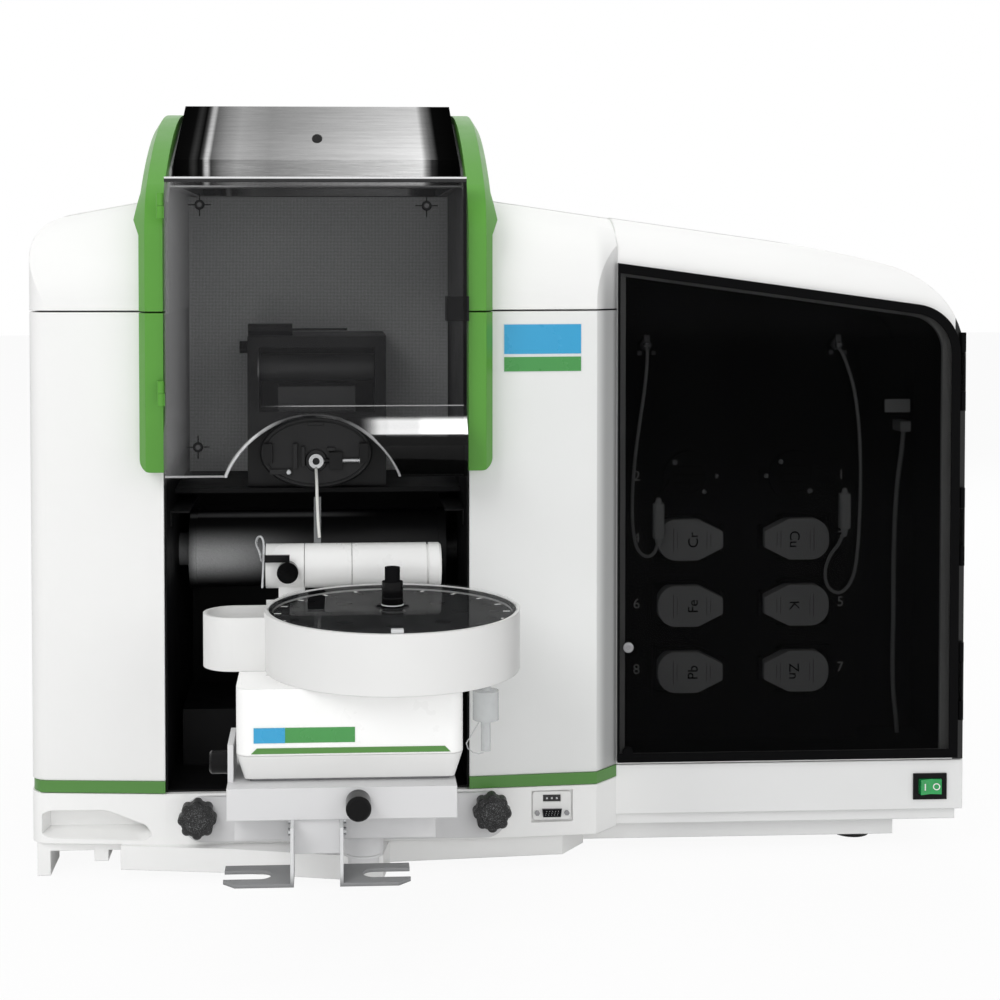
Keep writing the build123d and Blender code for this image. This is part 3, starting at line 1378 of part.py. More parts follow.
# Black fittings of the bay: furnace shelf, side rails and pump box
with BuildPart() as bay_fittings:
    wall_left = BAY_LEFT + SHEET + SEAT_GAP
    wall_right = BAY_RIGHT - SHEET - SEAT_GAP
    slab(wall_left, wall_right, SHELF_SET, BAY_DEEP - SHEET - SEAT_GAP, SHELF_Z, SHELF_Z + SHELF_THICK)
    for hand, wall_x in ((-1, wall_left), (1, wall_right)):
        edge_x = wall_x - hand * RAIL_WIDE
        lip_x = wall_x - hand * SHEET
        rail_end = RAIL_SET + RAIL_LONG
        slab(min(wall_x, edge_x), max(wall_x, edge_x), RAIL_SET, rail_end, RAIL_Z, RAIL_Z + SHEET)
        slab(min(wall_x, lip_x), max(wall_x, lip_x), RAIL_SET, rail_end, RAIL_Z - RAIL_TALL, RAIL_Z)
    slab(PUMP_BOX[0], PUMP_BOX[1], PUMP_FRONT, PUMP_FRONT + PUMP_DEEP, BAY_FLOOR + SHEET, PUMP_BOX[2])
save(bay_fittings.part, "bay_fittings")

with BuildPart() as furnace_housing:
    slab(FURNACE_LEFT, FURNACE_RIGHT, FURNACE_FRONT, FURNACE_REAR, SHELF_Z + SHELF_THICK, FURNACE_TOP)
    slab(
        FURNACE_LEFT + FURNACE_WALL,
        FURNACE_RIGHT - FURNACE_WALL,
        FURNACE_FRONT,
        FURNACE_FRONT + FURNACE_MOUTH_DEEP,
        FURNACE_MOUTH_LOW,
        FURNACE_MOUTH_TOP,
        Mode.SUBTRACT,
    )
save(furnace_housing.part, "furnace_housing")

with BuildPart() as furnace_core:
    core_set = FURNACE_FRONT + FURNACE_MOUTH_DEEP - CORE_RADIUS - SHEET
    bar_x(FURNACE_LEFT + FURNACE_WALL, FURNACE_RIGHT - FURNACE_WALL, core_set, CORE_Z, CORE_RADIUS)
    slab(
        CONTACT_X - CORE_BLOCK_HALF,
        CONTACT_X + CORE_BLOCK_HALF,
        FURNACE_FRONT + FURNACE_WALL,
        FURNACE_FRONT + FURNACE_MOUTH_DEEP,
        FURNACE_MOUTH_LOW,
        FURNACE_MOUTH_LOW + CORE_BLOCK,
    )
save(furnace_core.part, "furnace_core")

with BuildPart() as furnace_lever:
    lever_z = FURNACE_TOP + LEVER_RADIUS
    lever_set = FURNACE_FRONT + FURNACE_WALL + LEVER_RADIUS
    bar_x(FURNACE_LEFT, FURNACE_LEFT + LEVER_GRIP, lever_set, lever_z, LEVER_RADIUS)
    bar_x(
        FURNACE_LEFT + LEVER_GRIP,
        FURNACE_LEFT + LEVER_GRIP + LEVER_SHAFT,
        lever_set,
        lever_z,
        WIRE_RADIUS,
    )
    bar_x(FURNACE_LEFT - CONE_LONG, FURNACE_LEFT, lever_set, FURNACE_MOUTH_TOP, LEVER_RADIUS)
save(furnace_lever.part, "furnace_lever")

with BuildPart() as contact_head:
    with BuildSketch(facing(CONTACT_FRONT + CONTACT_DEEP)):
        with Locations((CONTACT_X, CONTACT_Z)):
            Ellipse(CONTACT_WIDE, CONTACT_TALL)
    extrude(amount=CONTACT_DEEP)
    chamfer(contact_head.faces().sort_by(Axis.Y)[0].edges(), length=SHEET)
    bar_y(CONTACT_X, CONTACT_FRONT + CONTACT_DEEP, FURNACE_FRONT, CONTACT_Z, CONTACT_NECK)
    bar_y(
        CONTACT_X,
        CONTACT_FRONT - CONE_LONG,
        CONTACT_FRONT + CONTACT_DEEP / 2,
        CONE_Z,
        CONE_BORE,
        Mode.SUBTRACT,
    )
save(contact_head.part, "contact_head")

# Cone, clamp jaws and pin on the front of the contact head
with BuildPart() as contact_fittings:
    bar_y(CONTACT_X, CONTACT_FRONT - CONE_LONG, CONTACT_FRONT, CONE_Z, CONE_RADIUS)
    bar_y(CONTACT_X, CONTACT_FRONT - CONE_LONG, CONTACT_FRONT, CONE_Z, CONE_BORE, Mode.SUBTRACT)
    for hand in (-1, 1):
        jaw_x = CONTACT_X + hand * (CONTACT_WIDE - JAW_WIDE)
        slab(
            jaw_x - JAW_WIDE / 2,
            jaw_x + JAW_WIDE / 2,
            CONTACT_FRONT - JAW_WIDE,
            CONTACT_FRONT,
            CONTACT_Z - JAW_TALL / 2,
            CONTACT_Z + JAW_TALL / 2,
        )
    pin_end = CONTACT_X + CONTACT_WIDE - JAW_WIDE * 3 / 2
    slab(
        CONTACT_X + JAW_WIDE * 3 / 2,
        CONTACT_X + JAW_WIDE * 3,
        CONTACT_FRONT - JAW_WIDE,
        CONTACT_FRONT,
        CONE_Z - JAW_WIDE,
        CONE_Z + JAW_WIDE,
    )
    bar_x(CONTACT_X + CONE_RADIUS + SEAT_GAP, pin_end, CONTACT_FRONT - JAW_WIDE / 2, CONE_Z, PIN_RADIUS)
save(contact_fittings.part, "contact_fittings")

with BuildPart() as magnet_drum:
    bar_x(DRUM_LEFT, DRUM_RIGHT, DRUM_SET, DRUM_Z, DRUM_RADIUS)
    for start in (DRUM_LEFT, DRUM_RIGHT - DRUM_FLANGE):
        bar_x(start, start + DRUM_FLANGE, DRUM_SET, DRUM_Z, DRUM_RADIUS + SHEET)
    bar_x(BAY_LEFT + SHEET + SEAT_GAP, BAY_RIGHT - SHEET - SEAT_GAP, DRUM_SET, DRUM_Z, DRUM_STUB)
save(magnet_drum.part, "magnet_drum")

with BuildPart() as rear_screen:
    screen_half = WINDOW_HALF - SEAT_GAP
    slab(
        BAY_X - screen_half,
        BAY_X + screen_half,
        SCREEN_SET,
        SCREEN_SET + SCREEN_SHEET,
        SHELF_Z + SHELF_THICK,
        SCREEN_TOP,
    )
save(rear_screen.part, "rear_screen")

# Window hinge knuckles and latch, held by the cheeks
with BuildPart() as window_fittings:
    for low in HINGE_LOW:
        bar_z(HINGE_X, HINGE_SET, low, low + HINGE_TALL, HINGE_RADIUS)
        leaf_right = BAY_X - CHEEK_INNER - SHEET
        slab(HINGE_X - HINGE_RADIUS, leaf_right, HINGE_SET, -CHEEK_PROUD, low, low + HINGE_TALL)
    slab(
        BAY_X + CHEEK_INNER - LATCH_WIDE,
        BAY_X + CHEEK_INNER,
        WINDOW_SET + WINDOW_THICK + SEAT_GAP,
        WINDOW_SET + WINDOW_THICK + LATCH_DEEP,
        LATCH_LOW,
        LATCH_LOW + LATCH_TALL,
    )
save(window_fittings.part, "window_fittings")

# Drain nozzle under the right of the tub
with BuildPart() as drain_nozzle:
    bar_z(NOZZLE_X, NOZZLE_SET, NOZZLE_TOP, TUB_LOW, NOZZLE_NECK)
    bar_z(NOZZLE_X, NOZZLE_SET, NOZZLE_LOW, NOZZLE_TOP, NOZZLE_RADIUS)
    bar_z(NOZZLE_X, NOZZLE_SET, SPOUT_LOW, NOZZLE_LOW, NOZZLE_NECK)
save(drain_nozzle.part, "drain_nozzle")

# Lamp bay: black liner, board with eight stations, service panel beside it
with BuildPart() as lamp_liner:
    with BuildSketch(facing(DOOR_SET + WALL + SEAT_GAP)):
        bay_outline(
            LAMP_LEFT - SHEET, LAMP_RIGHT + SHEET, LAMP_LOW - SHEET, LAMP_TOP + SHEET, LAMP_CORNER + SHEET
        )
    extrude(amount=-(LAMP_DEEP - DOOR_SET - WALL))
    with BuildSketch(facing(DOOR_SET)):
        bay_outline(LAMP_LEFT, LAMP_RIGHT, LAMP_LOW, LAMP_TOP, LAMP_CORNER)
    extrude(amount=-(LAMP_DEEP - DOOR_SET - SHEET), mode=Mode.SUBTRACT)
save(lamp_liner.part, "lamp_liner")


def lamp_outline(grow, hand):
    """Lamp outline: round on the outer side, tapered on the inner side."""
    half_wide = LAMP_HALF_WIDE + grow
    half_tall = LAMP_HALF_TALL + grow
    cut = LAMP_CUT
    points = (
        (-half_wide * hand, -half_tall),
        ((half_wide - 2 * cut) * hand, -half_tall),
        (half_wide * hand, -half_tall + cut),
        (half_wide * hand, half_tall - cut),
        ((half_wide - 2 * cut) * hand, half_tall),
        (-half_wide * hand, half_tall),
    )
    outline = Polygon(*points, align=None)
    return outline


lamp_places = []
for row, height in enumerate(LAMP_ROWS):
    for column, across in enumerate(LAMP_COLUMNS):
        lamp_places.append((2 * row + 2 - column, across, height, 1 - 2 * column))

# Board folded back into a service panel, with lamp holders, bezels and jacks
with BuildPart() as lamp_board:
    with BuildSketch(facing(BOARD_SET)):
        bay_outline(LAMP_LEFT + SEAT_GAP, BOARD_RIGHT, LAMP_LOW + SEAT_GAP, LAMP_TOP - SEAT_GAP, SHEET)
    extrude(amount=-BOARD_THICK)
    for number, across, height, hand in lamp_places:
        if number > 2:
            slab(
                across - LAMP_HALF_WIDE + SHEET,
                across + LAMP_HALF_WIDE - SHEET,
                BOARD_SET,
                BOARD_SET + BOARD_THICK,
                height - LAMP_HALF_TALL + LAMP_CUT,
                height + LAMP_HALF_TALL - LAMP_CUT,
                Mode.SUBTRACT,
            )
            with BuildSketch(facing(BOARD_SET)):
                with Locations((across, height)):
                    lamp_outline(HOLDER_RIM, hand)
                    wide = 2 * LAMP_HALF_WIDE + 2 * RUN_GAP
                    Rectangle(wide, 2 * LAMP_HALF_TALL + 2 * RUN_GAP, mode=Mode.SUBTRACT)
            extrude(amount=HOLDER_DEEP)
        else:
            bezel_front = BOARD_SET - BEZEL_DEEP
            bar_y(across, bezel_front, BOARD_SET, height, BEZEL_RADIUS)
            bar_y(across, bezel_front, BOARD_SET - SHEET, height, BEZEL_HOLE, Mode.SUBTRACT)
            for slat in (-1, 0, 1):
                low = height + slat * BEZEL_HOLE / 2 - SHEET
                slat_half = BEZEL_HOLE - SHEET
                slab(
                    across - slat_half,
                    across + slat_half,
                    bezel_front + SHEET,
                    BOARD_SET,
                    low,
                    low + 2 * SHEET,
                )
            ear = across + hand * (BEZEL_RADIUS + SHEET)
            slab(
                ear - BEZEL_EAR,
                ear + BEZEL_EAR,
                BOARD_SET - SHEET,
                BOARD_SET,
                height - BEZEL_EAR,
                height + BEZEL_EAR,
            )
    for jack_x in JACK_X:
        bar_y(jack_x, JACK_FRONT, BOARD_SET, JACK_Z, JACK_RADIUS)
    low = LAMP_LOW + SEAT_GAP
    slab(BOARD_RIGHT - SHEET, BOARD_RIGHT, BOARD_SET + BOARD_THICK, SERVICE_SET, low, SERVICE_TOP)
    slab(BOARD_RIGHT, LAMP_RIGHT - SEAT_GAP, SERVICE_SET - SHEET, SERVICE_SET, low, SERVICE_TOP)
save(lamp_board.part, "lamp_board")

with BuildPart() as lamps:
    for number, across, height, hand in lamp_places:
        if number > 2:
            with BuildSketch(facing(BOARD_SET)):
                with Locations((across, height)):
                    lamp_outline(0, hand)
            extrude(amount=BOARD_SET - LAMP_FACE)
            bar_y(across, BOARD_SET, BOARD_SET + LAMP_STEM, height, LAMP_HALF_TALL - LAMP_CUT)
            outer_x = across - hand * LAMP_HALF_WIDE
            corners = lamps.edges().filter_by(Axis.Y)
            corners = corners.filter_by_position(Axis.X, outer_x - SEAT_GAP, outer_x + SEAT_GAP)
            low = height - LAMP_HALF_TALL - SEAT_GAP
            corners = corners.filter_by_position(Axis.Z, low, low + 2 * LAMP_HALF_TALL + 2 * SEAT_GAP)
            fillet(corners, LAMP_ROUND)
save(lamps.part, "lamps")

# Plugs in the lamp leads and the service plug
with BuildPart() as lead_plugs:
    for plug_x, plug_low in PLUG_PLACES:
        half = PLUG_WIDE / 2
        slab(plug_x - half, plug_x + half, PLUG_SET - half, PLUG_SET + half, plug_low, plug_low + PLUG_TALL)
    chamfer(lead_plugs.edges().filter_by(Axis.Z), length=SHEET)
    service_back = SERVICE_SET - SHEET
    slab(SERVICE_X - half, SERVICE_X + half, SERVICE_FRONT, service_back, SERVICE_Z, SERVICE_Z + PLUG_WIDE)
save(lead_plugs.part, "lead_plugs")

tube(LEAD_ONE_ROUTE, LEAD_RADIUS, "lamp_lead_1")
tube(LEAD_ONE_TAIL, LEAD_RADIUS, "lamp_tail_1")
tube(LEAD_TWO_ROUTE, LEAD_RADIUS, "lamp_lead_2")
tube(LEAD_TWO_TAIL, LEAD_RADIUS, "lamp_tail_2")
tube(SERVICE_ROUTE, SERVICE_RADIUS, "service_cable")

# Door over the lamp bay: tinted pane, trim, catches and hinge knuckles
with BuildPart() as door_pane:
    with BuildSketch(facing(DOOR_SET - SEAT_GAP)):
        bay_outline(DOOR_LEFT, DOOR_RIGHT, DOOR_LOW, DOOR_TOP, DOOR_CORNER)
    extrude(amount=DOOR_THICK)
    for low in DOOR_HINGE_Z:
        bar_z(DOOR_AXIS_X, DOOR_AXIS_SET, low, low + DOOR_HINGE_TALL, DOOR_HINGE_RADIUS)
        leaf_front = DOOR_SET - SEAT_GAP - DOOR_THICK
        slab(DOOR_RIGHT - SHEET, DOOR_AXIS_X, leaf_front, DOOR_AXIS_SET, low, low + DOOR_HINGE_TALL)
save(door_pane.part, "door_pane")

with BuildPart() as door_trim:
    with BuildSketch(facing(DOOR_SET - SEAT_GAP - DOOR_THICK)):
        bay_outline(DOOR_LEFT, DOOR_RIGHT, DOOR_LOW, DOOR_TOP, DOOR_CORNER)
        inner_top = DOOR_TOP - DOOR_TRIM - DOOR_FALL * DOOR_TRIM
    extrude(amount=DOOR_TRIM_THICK)
    with BuildSketch(facing(DOOR_SET - SEAT_GAP - DOOR_THICK)):
        inner_left = DOOR_LEFT + SHEET
        inner_right = DOOR_RIGHT - DOOR_TRIM
        bay_outline(inner_left, inner_right, DOOR_LOW + DOOR_TRIM, inner_top, DOOR_CORNER - DOOR_TRIM)
    extrude(amount=DOOR_TRIM_THICK, mode=Mode.SUBTRACT)
    catch_back = DOOR_SET - SEAT_GAP - DOOR_THICK
    for catch_x, catch_z in CATCH_POINTS:
        bar_y(catch_x, catch_back - CATCH_DEEP, catch_back, catch_z, CATCH_RADIUS)
save(door_trim.part, "door_trim")

with BuildPart() as door_hinges:
    for low in DOOR_HINGE_Z:
        for start in (low - DOOR_HINGE_TALL / 2 - SEAT_GAP, low + DOOR_HINGE_TALL + SEAT_GAP):
            bar_z(DOOR_AXIS_X, DOOR_AXIS_SET, start, start + DOOR_HINGE_TALL / 2, DOOR_HINGE_RADIUS)
save(door_hinges.part, "door_hinges")

# Base front fittings
with BuildPart() as port_plate:
    plate_front = RIGHT_SET - PORT_RECESS / 2
    with BuildSketch(facing(plate_front)):
        with Locations(PORT_MIDDLE):
            RectangleRounded(PORT_WIDE, PORT_TALL, PORT_RECESS)
    extrude(amount=-PORT_RECESS)
    slab(
        PORT_MIDDLE[0] - PIN_SOCKET[0] / 2,
        PORT_MIDDLE[0] + PIN_SOCKET[0] / 2,
        plate_front,
        plate_front + SHEET,
        PORT_MIDDLE[1] + PIN_SOCKET[2],
        PORT_MIDDLE[1] + PIN_SOCKET[2] + PIN_SOCKET[1],
        Mode.SUBTRACT,
    )
    with BuildSketch(facing(plate_front)):
        with Locations((PORT_MIDDLE[0], PORT_MIDDLE[1] - PIN_SOCKET[1])):
            Trapezoid(D_SOCKET[0], D_SOCKET[1], D_SOCKET[2], rotation=HALF_TURN)
        with Locations(
            (PORT_MIDDLE[0] - D_SOCKET[0] * 3 / 4, PORT_MIDDLE[1] - PIN_SOCKET[1]),
            (PORT_MIDDLE[0] + D_SOCKET[0] * 3 / 4, PORT_MIDDLE[1] - PIN_SOCKET[1]),
        ):
            RegularPolygon(PIN_RADIUS, 6)
    extrude(amount=PORT_RECESS / 2)
save(port_plate.part, "port_plate")

with BuildPart() as switch_bezel:
    slab(
        SWITCH_MIDDLE[0] - SWITCH_WIDE / 2,
        SWITCH_MIDDLE[0] + SWITCH_WIDE / 2,
        DOOR_SET - SHEET,
        DOOR_SET - SEAT_GAP,
        SWITCH_MIDDLE[1] - SWITCH_TALL / 2,
        SWITCH_MIDDLE[1] + SWITCH_TALL / 2,
    )
    slab(
        SWITCH_MIDDLE[0] - SWITCH_WIDE / 2 + 2 * SWITCH_FRAME,
        SWITCH_MIDDLE[0] + SWITCH_WIDE / 2 - 2 * SWITCH_FRAME,
        -REACH,
        REACH,
        SWITCH_MIDDLE[1] - SWITCH_TALL / 2 + 2 * SWITCH_FRAME,
        SWITCH_MIDDLE[1] + SWITCH_TALL / 2 - 2 * SWITCH_FRAME,
        Mode.SUBTRACT,
    )
save(switch_bezel.part, "switch_bezel")

# Rocker, tipped to one side about the upright bore behind its face
with BuildPart() as power_rocker:
    half_wide = SWITCH_WIDE / 2 - 2 * SWITCH_FRAME - ROCKER_GAP
    half_tall = SWITCH_TALL / 2 - 2 * SWITCH_FRAME - RUN_GAP
    with BuildSketch(level(SWITCH_MIDDLE[1] - half_tall)):
        with Locations(Location((SWITCH_MIDDLE[0], deep(DOOR_SET), 0), (0, 0, ROCKER_LEAN))):
            Polygon(
                (-half_wide, -ROCKER_PROUD),
                (0, -ROCKER_PROUD / 2),
                (half_wide, -ROCKER_PROUD),
                (half_wide - SHEET, ROCKER_BACK),
                (SHEET - half_wide, ROCKER_BACK),
                align=None,
            )
    extrude(amount=2 * half_tall)
    bar_z(SWITCH_MIDDLE[0], DOOR_SET, BENCH_Z, REACH, ROCKER_BORE, Mode.SUBTRACT)
save(power_rocker.part, "power_rocker")

# Back: mains inlet and gas ports
with BuildPart() as rear_fittings:
    inlet_half = INLET_WIDE / 2 - SEAT_GAP
    inlet_rise = INLET_TALL / 2 - SEAT_GAP
    inlet_front = BODY_DEPTH - INLET_DEEP
    slab(
        INLET_X - inlet_half,
        INLET_X + inlet_half,
        inlet_front,
        BODY_DEPTH,
        INLET_Z - inlet_rise,
        INLET_Z + inlet_rise,
    )
    slab(
        INLET_X - INLET_WIDE / 4,
        INLET_X + INLET_WIDE / 4,
        inlet_front + WALL,
        BODY_DEPTH,
        INLET_Z - INLET_TALL / 4,
        INLET_Z + INLET_TALL / 4,
        Mode.SUBTRACT,
    )
    for pin_x in (-INLET_WIDE / 8, 0, INLET_WIDE / 8):
        bar_y(INLET_X + pin_x, inlet_front + WALL, BODY_DEPTH - WALL, INLET_Z, WIRE_RADIUS)
    for port_x in GAS_X:
        bar_y(port_x, BODY_DEPTH - GAS_LONG, BODY_DEPTH, GAS_Z, GAS_RADIUS - SEAT_GAP)
        bar_y(port_x, BODY_DEPTH - GAS_LONG, BODY_DEPTH - WALL - SEAT_GAP, GAS_Z, GAS_RADIUS + WALL)
save(rear_fittings.part, "rear_fittings")
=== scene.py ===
from math import atan2, copysign, cos, hypot, radians, sin, sqrt, tau

import bmesh
import bpy
from mathutils import Matrix, Vector


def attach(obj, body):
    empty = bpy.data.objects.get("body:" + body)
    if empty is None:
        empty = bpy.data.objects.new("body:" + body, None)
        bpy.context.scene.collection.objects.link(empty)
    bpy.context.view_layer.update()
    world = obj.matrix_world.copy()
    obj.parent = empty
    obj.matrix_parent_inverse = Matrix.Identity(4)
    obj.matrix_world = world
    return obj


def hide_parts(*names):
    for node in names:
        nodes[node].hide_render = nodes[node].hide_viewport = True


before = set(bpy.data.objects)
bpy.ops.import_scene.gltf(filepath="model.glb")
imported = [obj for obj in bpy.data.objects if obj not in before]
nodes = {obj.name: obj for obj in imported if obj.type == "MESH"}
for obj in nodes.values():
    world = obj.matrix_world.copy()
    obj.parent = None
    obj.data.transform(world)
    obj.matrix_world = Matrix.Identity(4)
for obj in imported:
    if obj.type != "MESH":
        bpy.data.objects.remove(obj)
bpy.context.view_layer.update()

MM = 0.001
FRONT_Y = -0.215


def spot(x, depth, z):
    """Point in metres from X, depth behind the front line and height, in millimetres."""
    return Vector((x * MM, FRONT_Y + depth * MM, z * MM))


def paint(red, green, blue):
    """Linear colour of a paint given in 0 to 255 steps."""
    def linear(step):
        value = step / 255
        return value / 12.92 if value <= 0.04045 else ((value + 0.055) / 1.055) ** 2.4
    return (linear(red), linear(green), linear(blue), 1.0)


# Camera: the photograph's place, with part of its shift taken up by a small turn
CAMERA_PLACE = Vector((-0.173, -1.951, 0.619))
CAMERA_YAW = radians(2.81)
CAMERA_PITCH = radians(-1.75)
CAMERA_ROLL = radians(-0.07)
CAMERA_LENS = 63.2
CAMERA_SENSOR = 36.0
CAMERA_CLIP = (0.01, 50.0)
CAMERA_SHIFT = (0.08, -0.19)

camera_data = bpy.data.cameras.new("camera")
camera_data.lens = CAMERA_LENS
camera_data.sensor_width = CAMERA_SENSOR
camera_data.shift_x, camera_data.shift_y = CAMERA_SHIFT
camera_data.clip_start, camera_data.clip_end = CAMERA_CLIP
camera = bpy.data.objects.new("camera", camera_data)
bpy.context.scene.collection.objects.link(camera)
ahead = Vector((
    sin(CAMERA_YAW) * cos(CAMERA_PITCH),
    cos(CAMERA_YAW) * cos(CAMERA_PITCH),
    sin(CAMERA_PITCH),
))
level_right = ahead.cross(Vector((0, 0, 1))).normalized()
level_up = level_right.cross(ahead)
right = level_right * cos(CAMERA_ROLL) + level_up * sin(CAMERA_ROLL)
up = level_up * cos(CAMERA_ROLL) - level_right * sin(CAMERA_ROLL)
turn = Matrix((right, up, -ahead)).transposed().to_4x4()
camera.matrix_world = Matrix.Translation(CAMERA_PLACE) @ turn
bpy.context.scene.camera = camera


# Finishes
class Wire:
    """A socket in a finish's node tree; arithmetic on it adds Math nodes."""

    def __init__(self, finish, socket):
        self.finish = finish
        self.socket = socket

    def math(self, operation, *others):
        values = dict(enumerate((self, *others)))
        return self.finish.node("ShaderNodeMath", {"operation": operation}, values)

    def __add__(self, other):
        return self.math("ADD", other)

    def __sub__(self, other):
        return self.math("SUBTRACT", other)

    def __rsub__(self, other):
        return self.finish.node("ShaderNodeMath", {"operation": "SUBTRACT"}, {0: other, 1: self})

    def __mul__(self, other):
        return self.math("MULTIPLY", other)

    def __truediv__(self, other):
        return self.math("DIVIDE", other)

    def __gt__(self, other):
        return self.math("GREATER_THAN", other)

    def __lt__(self, other):
        return self.math("LESS_THAN", other)

    def ramp(self, low, high, start=0.0, end=1.0):
        """Smooth step from start at low to end at high."""
        settings = {"interpolation_type": "SMOOTHSTEP"}
        values = {"Value": self, 1: low, 2: high, 3: start, 4: end}
        return self.finish.node("ShaderNodeMapRange", settings, values)

    def band(self, low, rise, fall, high):
        """One from rise to fall, fading to nothing at low and high."""
        return self.ramp(low, rise) * self.ramp(fall, high, 1.0, 0.0)


finishes = {}


class Finish:
    """The node tree of one procedural material, or of the world that is handed to it."""

    def __init__(self, name, world=None):
        self.owner = world or bpy.data.materials.new(name)
        finishes[name] = self.owner
        self.owner.use_nodes = True
        self.tree = self.owner.node_tree
        self.tree.nodes.clear()
        self.place = None if world else self.node("ShaderNodeTexCoord", take="Object")

    def node(self, kind, settings=None, values=None, take=0):
        """Adds a node, sets it up, fills its sockets and gives back one of its outputs."""
        added = self.tree.nodes.new(kind)
        for key, value in (settings or {}).items():
            setattr(added, key, value)
        for key, value in (values or {}).items():
            if isinstance(value, Wire):
                self.tree.links.new(value.socket, added.inputs[key])
            else:
                added.inputs[key].default_value = value
        return Wire(self, added.outputs[take])

    def stretched(self, along):
        """Object place, scaled apart along its axes."""
        return self.node("ShaderNodeMapping", None, {"Vector": self.place, "Scale": along})

    def noise(self, scale, detail=2.0, roughness=0.5, place=None, take="Fac"):
        values = {"Vector": place or self.place, "Scale": scale, "Detail": detail, "Roughness": roughness}
        return self.node("ShaderNodeTexNoise", None, values, take)

    def axis(self, letter, place=None):
        return self.node("ShaderNodeSeparateXYZ", None, {0: place or self.place}, letter)

    def mix(self, amount, first, second):
        """Colour between two colours."""
        settings = {"data_type": "RGBA"}
        return self.node("ShaderNodeMix", settings, {0: amount, 6: first, 7: second}, 2)

    def cloud(self, noise, amount, first, second, low=0.35):
        """First colour, with up to an amount of the second in the noise's clouds."""
        return self.mix(noise.ramp(low, 0.7, 0.0, amount), first, second)

    def relief(self, height, strength, distance, edge=0.0):
        """Normal from a height, over edges softened by a radius."""
        values = {"Height": height, "Strength": strength, "Distance": distance}
        if edge:
            values["Normal"] = self.node("ShaderNodeBevel", {"samples": 4}, {"Radius": edge})
        return self.node("ShaderNodeBump", None, values)

    def shader(self, **values):
        named = {key.replace("_", " "): value for key, value in values.items()}
        return self.node("ShaderNodeBsdfPrincipled", None, named)

    def end(self, surface, kind="ShaderNodeOutputMaterial"):
        """Ends the tree in a surface, and gives back what the tree belongs to."""
        output = self.tree.nodes.new(kind)
        self.tree.links.new(surface.socket, output.inputs["Surface"])
        return self.owner

    def surface(self, **values):
        return self.end(self.shader(**values))

    def steps(self, place, stops):
        """Colour that runs through grey stops, each a place from 0 to 1 and a paint step."""
        added = self.tree.nodes.new("ShaderNodeValToRGB")
        run = added.color_ramp.elements
        while len(run) < len(stops):
            run.new(0.5)
        for element, (where, grey) in zip(run, stops):
            element.position = where
            element.color = paint(grey, grey, grey)
        self.tree.links.new(place.socket, added.inputs[0])
        return Wire(self, added.outputs[0])


def shade(colour, factor):
    return tuple(channel * factor for channel in colour[:3]) + (1.0,)


def moulding(name, colour, rough, grain, grain_size, vary, edge, gloss=0.5, zones=()):
    """Painted or moulded surface: faint clouding, fine grain, handled sheen, softened edges and zones of
    other colour, mostly painted shade and painted light.
    """
    own = Finish(name)
    clouds = own.noise(6.0, 3.0)
    specks = own.noise(grain_size, 2.0)
    handled = own.noise(28.0, 4.0, 0.6)
    base = own.cloud(clouds, vary, colour, shade(colour, 0.6), 0.3)
    for zone, other in zones:
        base = own.mix(zone(own), base, other)
    sheen = handled.ramp(0.3, 0.75, rough - 0.04, rough + 0.06)
    normal = own.relief(specks, grain, 0.00012, edge)
    return own.surface(Base_Color=base, Roughness=sheen, Normal=normal, Specular_IOR_Level=gloss)


def door_return(own):
    """Narrow part of the cover beside and behind the lamp door."""
    across, behind, height = own.axis("X"), own.axis("Y"), own.axis("Z")
    return (across > 0.4655) * (behind < FRONT_Y + 0.052) * (height > 0.098) * (height < 0.560)


def bevel_shade(own):
    """Painted shade on the upright bevel between the right front panel and the lamp door."""
    behind, height = own.axis("Y"), own.axis("Z")
    strip = own.axis("X").band(0.090, 0.103, 0.114, 0.117)
    return strip * (behind < FRONT_Y + 0.060) * (height > 0.098) * height.ramp(0.56, 0.66, 0.8, 0.0)


def tine_shade(own):
    """Painted shade on the underside and low tines of the forks."""
    return own.axis("Z").ramp(0.079, 0.094, 0.85, 0.0)


def pan_shade(own):
    """Painted shade on the lower part of the pan, which turns under."""
    return own.axis("Z").ramp(0.135, 0.158, 0.4, 0.0)


def cheek_shade(own):
    """Painted shade on the upper part of the cheeks, which leans back."""
    return own.axis("Z").ramp(0.66, 0.78, 0.0, 0.3)


def base_shade(own):
    """Painted shade on the right part of the base, under the lamp bay."""
    return own.axis("X").ramp(0.08, 0.2, 0.0, 0.45)


def bay_walls_painted_light(own):
    """Painted light on the upper bay behind the window, its left wall the palest."""
    return own.axis("Z").ramp(0.39, 0.42) * own.axis("X").ramp(-0.32, -0.22, 1.0, 0.24)


def tube_painted_highlight(own):
    """Painted highlight on the furnace tube's face under its lid."""
    across, height = own.axis("X"), own.axis("Z")
    inside = (across > -0.2534) * (across < -0.1318)
    return inside * height.band(0.489, 0.497, 0.499, 0.517)


WHITE = paint(241, 241, 240)
LEAF = paint(88, 152, 58)
# Zones: painted shade on the bevel, pan, forks, base and cheeks; painted light in the bay; a painted
# highlight on the furnace tube
BEVEL_SHADE_ZONE = (bevel_shade, paint(150, 151, 151))
COVER_DARK_AND_SHADE_ZONES = ((door_return, paint(8, 8, 8)), BEVEL_SHADE_ZONE)
PAN_SHADE_ZONES = ((pan_shade, paint(150, 151, 152)),)
FORK_SHADE_ZONES = ((tine_shade, paint(84, 85, 86)),)
BASE_SHADE_ZONES = ((base_shade, paint(204, 205, 206)),)
CHEEK_SHADE_ZONES = ((cheek_shade, shade(LEAF, 0.5)),)
BAY_LIGHT_ZONES = ((bay_walls_painted_light, paint(168, 168, 169)),)
FURNACE_HIGHLIGHT_ZONES = ((tube_painted_highlight, paint(158, 158, 159)),)
